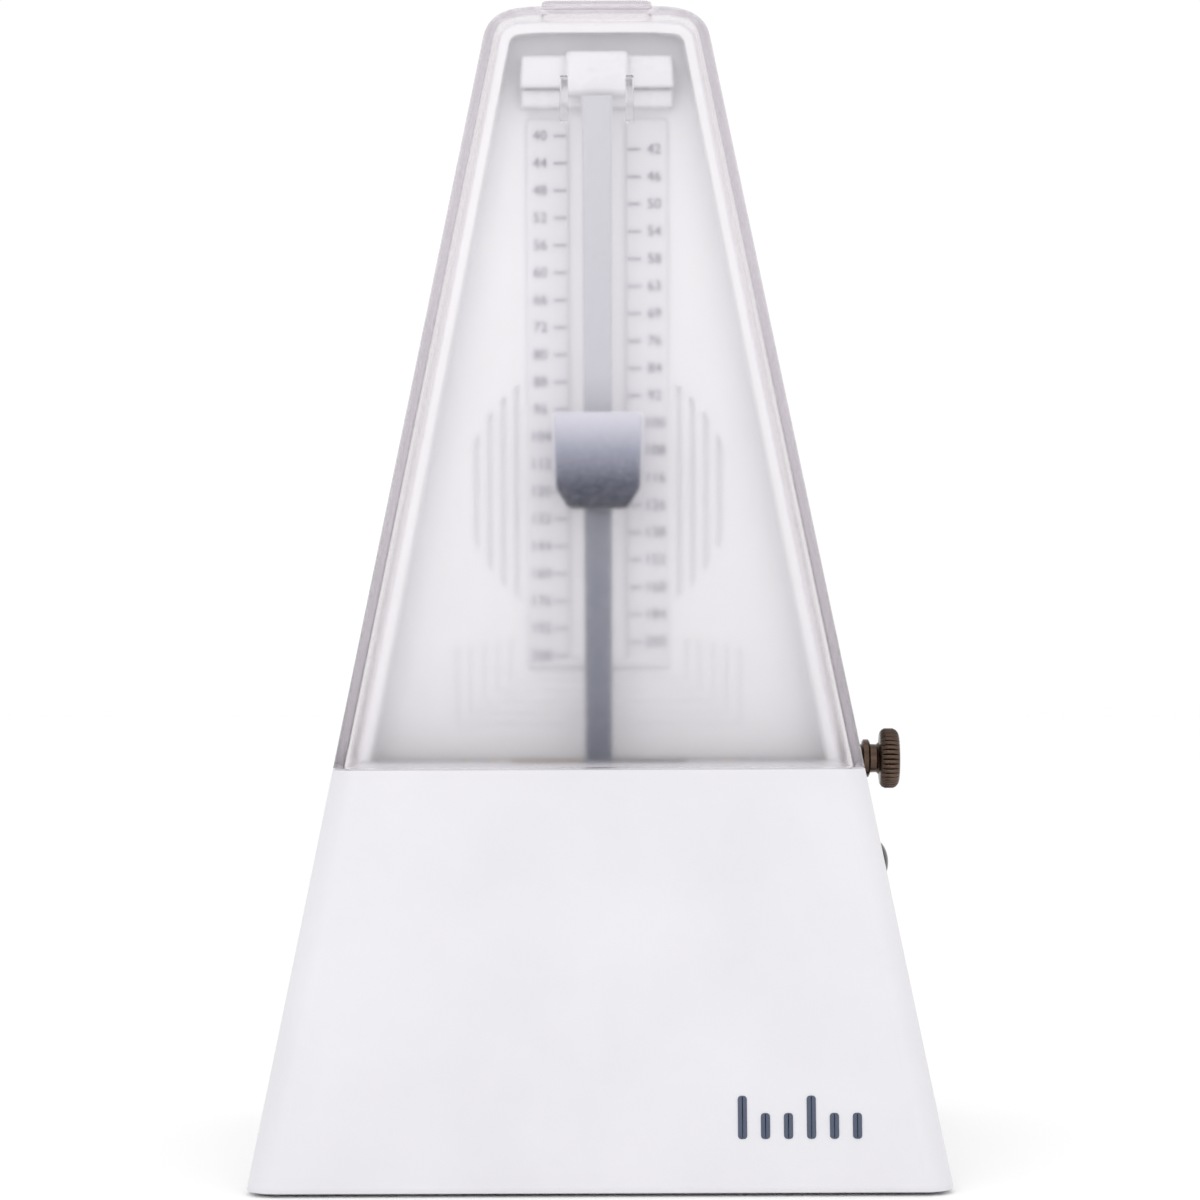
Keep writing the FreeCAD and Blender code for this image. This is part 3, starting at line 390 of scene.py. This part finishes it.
# painted shade on the rod and weight: one grey paint, lighter at the top and darker lower down
rodShadeTones = [(0.0, (0.055, 0.062, 0.10)), (0.33, (0.078, 0.085, 0.125)), (0.40, (0.13, 0.14, 0.18)),
            (0.62, (0.21, 0.22, 0.26)), (0.72, (0.49, 0.49, 0.53)), (1.0, (0.555, 0.555, 0.59))]
weightShadeTones = [(0.0, (0.004, 0.006, 0.018)), (0.25, (0.022, 0.026, 0.055)), (0.6, (0.26, 0.27, 0.34)),
               (0.85, (0.50, 0.50, 0.57)), (1.0, (0.61, 0.61, 0.67))]
rodPaint = fleckedPaint("rodPaint", "pendulum_rod", rodShadeTones, (0.75, 0.77, 0.83), 0.36, 0.6)
weightPaint = fleckedPaint("weightPaint", "tempo_weight", weightShadeTones, (0.70, 0.72, 0.82), 0.38, 0.7)
keyBronze = brushedMetal("keyBronze", (0.02, 0.014, 0.011), (0.13, 0.088, 0.066), 0.2, (1, 8, 8))
brassFinish = brushedMetal("brassFinish", (0.55, 0.38, 0.14), (0.72, 0.52, 0.22), 0.3, (1, 1, 12))
steelFinish = brushedMetal("steelFinish", (0.40, 0.41, 0.43), (0.58, 0.59, 0.61), 0.28, (12, 1, 1))
springFinish = brushedMetal("springFinish", (0.22, 0.25, 0.33), (0.36, 0.39, 0.46), 0.25, (1, 10, 1))
bellFinish = brushedMetal("bellFinish", (0.66, 0.66, 0.68), (0.80, 0.80, 0.82), 0.12, (12, 1, 1))
ironFinish = mouldedPlastic("ironFinish", (0.05, 0.05, 0.055), (0.09, 0.09, 0.095), 0.6, 700, 0.0002)

slotLook = {
    "case_plastic": casePlastic, "base_plastic": basePlastic, "panel_plastic": panelPlastic,
    "holder_plastic": holderPlastic, "scale_metal": scaleFinish, "scale_ink": inkFinish,
    "mark_ink": markFinish, "knob_black": knobBlack, "foot_rubber": footRubber,
    "cover_clear": coverClear, "rod_metal": rodPaint, "weight_metal": weightPaint,
    "key_bronze": keyBronze, "brass": brassFinish, "steel": steelFinish,
    "spring_steel": springFinish, "bell_metal": bellFinish, "bob_iron": ironFinish,
}

nodeSlots = {entry["node"]: entry["material_slot"] for entry in frame["record"]["subparts"]}
for node, piece in frame["nodes"].items():
    piece.data.materials.clear()
    piece.data.materials.append(slotLook[nodeSlots[node]])
    piece.data.shade_smooth()
    piece.data.set_sharp_from_angle(angle=math.radians(30))
print("materials set on", len(frame["nodes"]), "carried-over parts")


def halfWidth(z):
    # half the outer width at height z: it shrinks evenly with the height
    return pyramid["half"] - pyramid["taper"] * z


def crownLevels(inset, count):
    # (half width, height) from the top of the slanted side, round the
    # shoulder arc and over the shallow arch to the centre.
    lean = math.atan(pyramid["taper"])
    r = pyramid["shoulder"] - inset
    arch = pyramid["arch"] - inset
    archZ = pyramid["top"] - inset - arch
    low, high = pyramid["top"] - 0.02, pyramid["top"]
    for _ in range(50):
        z = (low + high) / 2
        x = halfWidth(z) - (inset + r) / math.cos(lean)
        low, high = (z, high) if math.hypot(x, z - archZ) < arch - r else (low, z)
    end = math.atan2(z - archZ, x)
    a = np.linspace(lean, end, count)
    shoulder = np.stack([x + r * np.cos(a), z + r * np.sin(a)], 1)
    b = np.linspace(end, math.pi / 2, count)[1:]
    return shoulder, np.stack([arch * np.cos(b), archZ + arch * np.sin(b)], 1)


def sideWall(inset, zLow, zRows, crownCount, reach=0.0):
    # all (half width, height) levels of the shell at this inset
    lean = math.atan(pyramid["taper"])
    shoulder, arch = crownLevels(inset, crownCount)
    z = np.linspace(zLow, shoulder[0, 1], zRows)[:-1]
    side = np.stack([halfWidth(z) - inset / math.cos(lean), z], 1)
    levels = np.concatenate([side, shoulder, arch])
    return levels[levels[:, 0] >= reach]


def pathFrom(half, edgeY, sign, corner, straight=10, bend=10):
    # A U in plan: from (half, edgeY) along the side, round two corners and
    # back to (-half, edgeY). sign is -1 for the front and 1 for the rear.
    r = min(corner, half * 0.98)
    far = half - r
    near = min(edgeY * sign, far)
    y1 = np.linspace(near, far, straight)
    a = np.linspace(0, math.pi / 2, bend)[1:]
    right = np.concatenate([
        np.stack([np.full(straight, half), y1], 1),
        np.stack([far + r * np.cos(a), far + r * np.sin(a)], 1)])
    across = np.linspace(far, -far, straight)[1:-1]
    middle = np.stack([across, np.full(len(across), half)], 1)
    left = right[::-1] * np.array([-1, 1])
    path = np.concatenate([right, middle, left])
    path[:, 1] *= sign
    return path


def crownHeight(reach, levels):
    # height of the crown at a distance from the centre line
    order = np.argsort(levels[:, 0])
    return np.interp(reach, levels[order, 0], levels[order, 1])


def seamShell(levels, inset, edgeY, sign):
    # rows of U paths, one per level; over the crown the height follows the
    # point furthest from the centre line
    corner = max(pyramid["corner"] - inset, 0.001)
    top = levels[levels[:, 1] > pyramid["top"] - 0.03]
    rows = []
    for half, z in levels:
        path = pathFrom(half, edgeY, sign, corner)
        furthest = np.maximum(half, np.abs(path[:, 1]))
        height = np.where(furthest > half + 1e-6, crownHeight(furthest, top), z)
        rows.append(np.column_stack([path, height]))
    return np.stack(rows)


def closedShell(outer, inner, openTop):
    # outer and inner point grids of the same size, joined along their edges;
    # a crown that runs to the centre line needs no join in its last row
    rows, cols = outer.shape[:2]
    points, faces = joined((outer, gridFaces(rows, cols)), (inner, gridFaces(rows, cols)))
    far = rows * cols
    index = np.arange(far).reshape(rows, cols)
    edges = [index[0], index[:, 0], index[:, -1]]
    if openTop:
        edges.append(index[-1])
    for edge in edges:
        faces += [[a, b, b + far, a + far] for a, b in zip(edge[:-1], edge[1:])]
    return points, faces


def pyramidShell(wall, zLow, edgeY, sign, reach=0.0, zRows=60):
    # the U-shaped shell from zLow up and over the crown: one grid of points
    # on the outside, one drawn in by the wall, joined along their edges
    levels = sideWall(0.0, zLow, zRows, 14, reach)
    innerLevels = sideWall(wall, zLow, zRows, 14, 0.0)
    if reach:
        # the inner rows stop at the same plane
        innerLevels = innerLevels[innerLevels[:, 0] >= reach]
    count = min(len(levels), len(innerLevels))
    levels = np.concatenate([levels[:count - 1], levels[-1:]])
    innerLevels = np.concatenate([innerLevels[:count - 1], innerLevels[-1:]])
    outside = seamShell(levels, 0.0, edgeY, sign)
    inside = seamShell(innerLevels, wall, edgeY, sign)
    return closedShell(outside, inside, reach > 0)


def ringShell(wall, zLow, zHigh, rows, soft):
    # the full square ring below the ledge, its lower edge slightly rounded
    lean = math.atan(pyramid["taper"])
    lowest = [zLow, zLow + soft * 0.3, zLow + soft]
    z = np.concatenate([lowest, np.linspace(zLow + soft * 2, zHigh, rows)])
    draw = np.concatenate([[soft, soft * 0.3, 0.0], np.zeros(rows)])
    grids = []
    for inset in (0.0, wall):
        ringRows = []
        for height, d in zip(z, draw):
            half = halfWidth(height) - inset / math.cos(lean) - (d if inset == 0 else -d * 0.2)
            front = pathFrom(half, 0.0, 1, max(pyramid["corner"] - inset, 0.001))
            rear = front[::-1] * np.array([1, -1])
            ring = np.concatenate([front, rear[1:-1]])
            ringRows.append(np.column_stack([ring, np.full(len(ring), height)]))
        grids.append(np.stack(ringRows))
    rowsAll, cols = grids[0].shape[:2]
    quads = gridFaces(rowsAll, cols, True)
    points, faces = joined((grids[0], quads), (grids[1], quads))
    far = rowsAll * cols
    for row in (0, rowsAll - 1):
        a = np.arange(cols) + row * cols
        b = np.roll(a, -1)
        faces += np.stack([a, b, b + far, a + far], 1).tolist()
    return points, faces


case = {"wall": 0.0022, "joint": 0.000004, "slotHalf": 0.016, "slotFront": -0.017}
ledgeHalf = halfWidth(pyramid["ledge"]) - case["wall"]
ledgeOutline = [
    (-ledgeHalf, pyramid["seam"]), (-ledgeHalf, -ledgeHalf),
    (ledgeHalf, -ledgeHalf), (ledgeHalf, pyramid["seam"]),
    (case["slotHalf"], pyramid["seam"]), (case["slotHalf"], case["slotFront"]),
    (-case["slotHalf"], case["slotFront"]), (-case["slotHalf"], pyramid["seam"]),
]
lowerRing = ringShell(case["wall"], pyramid["bottom"], pyramid["ledge"], 40, 0.0006)
upperRear = pyramidShell(case["wall"], pyramid["ledge"] + case["joint"], pyramid["seam"], 1)
ledge = slabParts(ledgeOutline, pyramid["ledge"] - case["wall"], pyramid["ledge"],
                  edge=0.0003, cut=0.0006, plane="xy")
caseBody = makeMesh("caseBody", *joined(lowerRing, upperRear, ledge))
finished(caseBody, "case", "case_plastic", casePlastic, "case_shell")
print("case", len(caseBody.data.polygons))

cover = {
    "wall": coverWall, "low": pyramid["ledge"] + 0.0003, "edge": pyramid["seam"] - 0.0003,
    "padHalf": 0.0102, "padBack": -0.0125, "padFront": -0.0175, "padTop": 0.2143,
    "padDeep": 0.002,
}
coverShell = pyramidShell(cover["wall"], cover["low"], cover["edge"], -1, -cover["edge"] + 0.0002)
coverPieces = makeMesh("coverShell", *coverShell)
finished(coverPieces, "cover", "cover_clear", coverClear, "front_cover")

padOutline = [(-cover["padHalf"], cover["padFront"]), (cover["padHalf"], cover["padFront"]),
              (cover["padHalf"], cover["padBack"]), (-cover["padHalf"], cover["padBack"])]
gripPad = makeMesh("gripPad", *slabParts(
    padOutline, cover["padTop"] - cover["padDeep"], cover["padTop"],
    edge=0.0006, cut=0.0018, plane="xy", steps=8, edgeSteps=5, edgeLow=0.0001))
finished(gripPad, "cover", "cover_clear", padClear)

prong = {"inner": 0.0053, "outer": 0.0068, "low": 0.1913, "high": 0.2000, "tip": -0.0162,
         "root": 0.0002, "round": 0.0016}


def innerFront(z):
    # y of the cover's inside face at this height
    return -(halfWidth(z) - cover["wall"] / math.cos(math.atan(pyramid["taper"])))


root = prong["root"]
prongOutline = [(innerFront(prong["low"]) + root, prong["low"]), (prong["tip"], prong["low"]),
                (prong["tip"], prong["high"]), (innerFront(prong["high"]) + root, prong["high"])]
prongCuts = [root, prong["round"], prong["round"], root]
prongParts = []
for low, high in ((-prong["outer"], -prong["inner"]), (prong["inner"], prong["outer"])):
    prongParts.append(slabParts(prongOutline, low, high, edge=0.0003, cut=prongCuts, plane="yz", steps=7))
finished(makeMesh("coverProngs", *joined(*prongParts)), "cover", "cover_clear", coverClear)

tab = {"x": 0.028, "half": 0.004, "front": -0.0452, "back": -0.0433, "low": -0.0036, "high": 0.0002}
tabParts = []
for side in (-1, 1):
    left, right = side * tab["x"] - tab["half"], side * tab["x"] + tab["half"]
    outline = [(left, tab["front"]), (right, tab["front"]), (right, tab["back"]), (left, tab["back"])]
    tabParts.append(slabParts(outline, pyramid["ledge"] + tab["low"], pyramid["ledge"] + tab["high"],
                              edge=0.0001, cut=0.0005, plane="xy", steps=5, edgeSteps=3, edgeLow=0.0005))
finished(makeMesh("coverTabs", *joined(*tabParts)), "cover", "cover_clear", coverClear)
print("cover", len(coverPieces.data.polygons))


rodLow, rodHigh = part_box("pendulum_rod")
rod = {"topHalf": rodHigh.x, "lowHalf": 0.00225, "edge": 0.0006}
rodOutline = [(-rod["lowHalf"], rodLow.z), (rod["lowHalf"], rodLow.z),
              (rod["topHalf"], rodHigh.z), (-rod["topHalf"], rodHigh.z)]
pendulumRod = makeMesh("pendulumRod", *slabParts(
    rodOutline, rodLow.y, rodHigh.y, edge=0.0001, cut=0.0004, steps=5, edgeSteps=5, edgeLow=rod["edge"]))
finished(pendulumRod, "pendulum", "rod_metal", rodPaint, "pendulum_rod")

weightLow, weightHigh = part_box("tempo_weight")
weight = {"corner": 0.0029, "soft": 0.0009, "draw": 0.0005, "bend": 0.0038, "edge": 0.0009,
          "channel": 0.0031, "shoulder": 0.006, "gap": 0.0009}
half, corner = weightHigh.x, weight["corner"]
draw, bend = weight["draw"], weightLow.z + weight["bend"]
frontOutline = [(-half + draw, bend), (-half + corner, weightLow.z), (half - corner, weightLow.z),
                (half - draw, bend), (half, weightHigh.z), (-half, weightHigh.z)]
backOutline = [(-half, weightLow.z + weight["shoulder"]), (half, weightLow.z + weight["shoulder"]),
               (half, weightHigh.z), (-half, weightHigh.z)]
weightParts = [
    slabParts(frontOutline, weightLow.y, rodLow.y - 0.0001, edge=0.0001, cut=weight["soft"],
              steps=6, edgeSteps=6, edgeLow=weight["edge"]),
    slabParts(backOutline, rodHigh.y + weight["gap"], weightHigh.y, edge=0.0005, cut=weight["soft"],
              steps=5, edgeSteps=4, edgeLow=0.0001),
]
for side in (-1, 1):
    near, far = sorted((side * weight["channel"], side * (half - 0.0007)))
    top = weightHigh.z - 0.0002
    cheek = [(near, bend), (far, bend), (far, top), (near, top)]
    weightParts.append(slabParts(cheek, rodLow.y - 0.0003, rodHigh.y + weight["gap"] + 0.0002,
                                 edge=0.0001, cut=0.0003, steps=3, edgeSteps=2))
tempoWeight = makeMesh("tempoWeight", *joined(*weightParts))
finished(tempoWeight, "weight", "weight_metal", weightPaint, "tempo_weight")
print("pendulum", len(pendulumRod.data.polygons), len(tempoWeight.data.polygons))


holderLow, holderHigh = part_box("pendulum_holder")
holder = {"shelfHalf": 0.0144, "shelfTopHalf": 0.0140, "shelfLow": 0.199, "shelfTop": 0.205,
          "shelfFront": -0.010, "lipHalf": 0.0142, "lipFront": -0.008,
          "blockHalf": 0.0059, "blockLow": 0.1974}
shelf = [(-holder["shelfHalf"], holder["shelfLow"]), (holder["shelfHalf"], holder["shelfLow"]),
         (holder["shelfTopHalf"], holder["shelfTop"]), (-holder["shelfTopHalf"], holder["shelfTop"])]
lip = [(-holder["lipHalf"], holderLow.z), (holder["lipHalf"], holderLow.z),
       (holder["lipHalf"], holder["shelfLow"]), (-holder["lipHalf"], holder["shelfLow"])]
block = [(-holder["blockHalf"], holder["blockLow"]), (holder["blockHalf"], holder["blockLow"]),
         (holder["blockHalf"], holderHigh.z), (-holder["blockHalf"], holderHigh.z)]
holderPiece = makeMesh("pendulumHolder", *joined(
    slabParts(shelf, holder["shelfFront"], holderHigh.y, edge=0.0001, cut=0.0008,
              steps=6, edgeSteps=5, edgeLow=0.0006),
    slabParts(lip, holder["lipFront"], holderHigh.y, edge=0.0001, cut=0.0006,
              steps=6, edgeSteps=5, edgeLow=0.0006),
    slabParts(block, holderLow.y, holderHigh.y, edge=0.0001, cut=0.0012,
              steps=7, edgeSteps=6, edgeLow=0.0012)))
finished(holderPiece, "case", "holder_plastic", holderPlastic, "pendulum_holder")

plateLow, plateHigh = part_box("scale_plate")
plate = {"slotHalf": 0.00545, "slotLow": 0.002, "soft": 0.0008, "edge": 0.00025}
slotHalf, slotLow = plate["slotHalf"], plateLow.z + plate["slotLow"]
plateOutline = [
    (plateLow.x, plateLow.z), (plateHigh.x, plateLow.z),
    (plateHigh.x, plateHigh.z), (slotHalf, plateHigh.z), (slotHalf, slotLow),
    (-slotHalf, slotLow), (-slotHalf, plateHigh.z), (plateLow.x, plateHigh.z)]
scalePlate = makeMesh("scalePlate", *slabParts(
    plateOutline, plateLow.y, plateHigh.y, edge=0.0001, cut=plate["soft"],
    steps=6, edgeSteps=4, edgeLow=plate["edge"]))
finished(scalePlate, "case", "scale_metal", scaleFinish, "scale_plate")

leftTempos = [40, 44, 48, 52, 56, 60, 66, 72, 80, 88, 96, 104, 112, 120, 132, 144, 160, 176, 192, 208]
rightTempos = [42, 46, 50, 54, 58, 63, 69, 76, 84, 92, 100, 108, 116, 126, 138, 152, 168, 184, 200]
scale = {"first": 0.1905, "pitch": 0.00513, "numberX": 0.0107, "size": 0.0027, "lift": 0.00005,
         "tickNear": 0.0057, "tickFar": 0.0082, "tickHalf": 0.00015, "thick": 0.00006}


def numberPrint(value, x, z, front):
    # the figures as a thin flat print, centred on (x, z)
    text = bpy.data.curves.new("figures", "FONT")
    text.body = str(value)
    text.size = scale["size"]
    text.align_x = "CENTER"
    text.align_y = "CENTER"
    text.extrude = scale["thick"] / 2
    text.resolution_u = 3
    figures = bpy.data.objects.new("figures", text)
    bpy.context.scene.collection.objects.link(figures)
    graph = bpy.context.evaluated_depsgraph_get()
    mesh = bpy.data.meshes.new_from_object(figures.evaluated_get(graph))
    count = len(mesh.vertices)
    flat = np.zeros(count * 3, np.float32)
    mesh.vertices.foreach_get("co", flat)
    flat = flat.reshape(-1, 3)
    points = np.stack([x + flat[:, 0], front - scale["lift"] - flat[:, 2], z + flat[:, 1]], 1)
    faces = [list(p.vertices) for p in mesh.polygons]
    bpy.data.objects.remove(figures)
    bpy.data.meshes.remove(mesh)
    bpy.data.curves.remove(text)
    return points, faces


printParts = []
for column, tempos, shift in ((-1, leftTempos, 0), (1, rightTempos, 0.5)):
    for row, value in enumerate(tempos):
        z = scale["first"] - (row + shift) * scale["pitch"]
        printParts.append(numberPrint(value, column * scale["numberX"], z, plateLow.y))
        near, far = sorted((column * scale["tickNear"], column * scale["tickFar"]))
        tick = [(near, z - scale["tickHalf"]), (far, z - scale["tickHalf"]),
                (far, z + scale["tickHalf"]), (near, z + scale["tickHalf"])]
        printParts.append(slabParts(tick, plateLow.y - scale["thick"] - scale["lift"], plateLow.y,
                                    edge=0.00001, cut=0.00005, steps=2, edgeSteps=2))
scalePrint = makeMesh("scalePrint", *joined(*printParts))
finished(scalePrint, "case", "scale_ink", inkFinish, "scale_marks")
print("scale", len(scalePrint.data.polygons))


keyMid = mid("winding_key")
knurl = {"around": 432, "deep": 0.00042, "teeth": 36, "from": 0.0541, "to": 0.0574}
keyProfile = np.array([
    (48.0, 0), (48.0, 2.5), (48.2, 2.7), (50.45, 2.7), (50.6, 3.3), (50.85, 3.65), (51.75, 3.65),
    (52.0, 3.3), (52.15, 2.75), (53.3, 2.7), (53.75, 3.1), (53.9, 4.3), (54.0, 4.95), (54.35, 5.45),
    (54.9, 5.75), (56.5, 5.75), (57.1, 5.45), (57.5, 4.95), (57.66, 4.5), (57.7, 4.0), (57.6, 3.3),
    (57.35, 2.8), (57.3, 0)]) * mm
keyParts = turnedParts(keyProfile, keyMid, knurl["around"], knurl["deep"], knurl["teeth"],
                       (knurl["from"], knurl["to"]))
keyPiece = makeMesh("windingKey", *keyParts, 40)
finished(keyPiece, "winding", "key_bronze", keyBronze, "winding_key")

knobMid = mid("selector_knob")
knobProfile = np.array([
    (52.4, 0), (52.4, 4.2), (52.5, 4.4), (52.7, 4.5), (53.1, 4.5), (53.6, 4.35), (54.2, 3.85), (54.8, 3.05),
    (55.25, 2.1), (55.5, 1.1), (55.6, 0)]) * mm
knobPiece = makeMesh("selectorKnob", *turnedParts(knobProfile, knobMid, 72))
finished(knobPiece, "selector", "knob_black", knobBlack, "selector_knob")

foot = {"x": 0.040, "y": 0.048}
footProfile = np.array([(1.7, 0), (1.7, 5.9), (1.6, 6.0), (0.45, 6.0), (0.1, 5.75), (0.0, 5.4), (0.0, 2.6),
                        (0.25, 2.2), (0.3, 0)]) * mm
footParts = [turnedParts(footProfile, (sx * foot["x"], sy * foot["y"], 0), 64, upright=True)
             for sx in (-1, 1) for sy in (-1, 1)]
finished(makeMesh("rubberFeet", *joined(*footParts)), "case", "foot_rubber", footRubber, "rubber_feet")

mark = {"first": 0.0240, "pitch": 0.0040, "wide": 0.0016, "low": 0.0100, "tall": 0.0075, "short": 0.0045,
        "proud": 0.00025, "count": 6}
markParts = []
for i in range(mark["count"]):
    x = mark["first"] + i * mark["pitch"]
    tall = mark["tall"] if i % 3 == 0 else mark["short"]
    bar = [(x, mark["low"]), (x + mark["wide"], mark["low"]), (x + mark["wide"], mark["low"] + tall),
           (x, mark["low"] + tall)]
    points, faces = slabParts(bar, -mark["proud"], 0.0001, edge=0.00002, cut=0.0007,
                              steps=8, edgeSteps=4, edgeLow=0.0002)
    lean = math.atan(pyramid["taper"])
    y, z = points[:, 1].copy(), points[:, 2].copy()
    points[:, 1] = y * math.cos(lean) + z * math.sin(lean) - pyramid["half"]
    points[:, 2] = z * math.cos(lean) - y * math.sin(lean)
    markParts.append((points, faces))
finished(makeMesh("beatMark", *joined(*markParts)), "case", "mark_ink", markFinish, "beat_mark")
print("key, knob, feet and mark done")


studio = {
    "floorSize": 6, "floorColour": (0.98, 0.98, 0.98), "sky": 1.02,
    "middle": 0.1036, "distance": 0.75, "aside": 0.0003, "roll": 0.18, "lens": 119.1, "sensor": 36,
}
lamps = {   # place, power, size
    "keyLight": ((-0.35, -0.9, 0.45), 0.95, 0.6),
    "fillLight": ((0.45, -0.85, 0.15), 0.7, 0.6),
    "topLight": ((0, -0.3, 0.9), 0.55, 0.7),
}


def softLight(name, place, power, size):
    # a square soft lamp turned towards the middle of the metronome
    data = bpy.data.lights.new(name, "AREA")
    data.energy = power
    data.size = size
    lamp = bpy.data.objects.new(name, data)
    lamp.location = place
    towards = Vector((0, 0, studio["middle"])) - Vector(place)
    lamp.rotation_euler = towards.to_track_quat("-Z", "Y").to_euler()
    bpy.context.scene.collection.objects.link(lamp)


def room():
    # pale floor, white surroundings, three soft lamps and the camera
    bpy.ops.mesh.primitive_plane_add(size=studio["floorSize"], location=(0, 0, 0))
    floor = bpy.context.object
    floor.name = "floor"
    pale = Look("floorPale", studio["floorColour"], 0.7)
    floor.data.materials.append(pale.material)
    world = bpy.data.worlds.new("softWorld")
    bpy.context.scene.world = world
    world.use_nodes = True
    sky = world.node_tree.nodes["Background"]
    sky.inputs["Color"].default_value = (1, 1, 1, 1)
    sky.inputs["Strength"].default_value = studio["sky"]
    for name, (place, power, size) in lamps.items():
        softLight(name, place, power, size)
    camera = bpy.data.cameras.new("camera")
    camera.lens = studio["lens"]
    camera.sensor_width = studio["sensor"]
    camera.clip_start = 0.01
    view = bpy.data.objects.new("camera", camera)
    view.location = (studio["aside"], -studio["distance"], studio["middle"])
    view.rotation_euler = (math.pi / 2, math.radians(studio["roll"]), 0)
    bpy.context.scene.collection.objects.link(view)
    bpy.context.scene.camera = view
    bpy.context.scene.view_settings.view_transform = "Standard"


room()
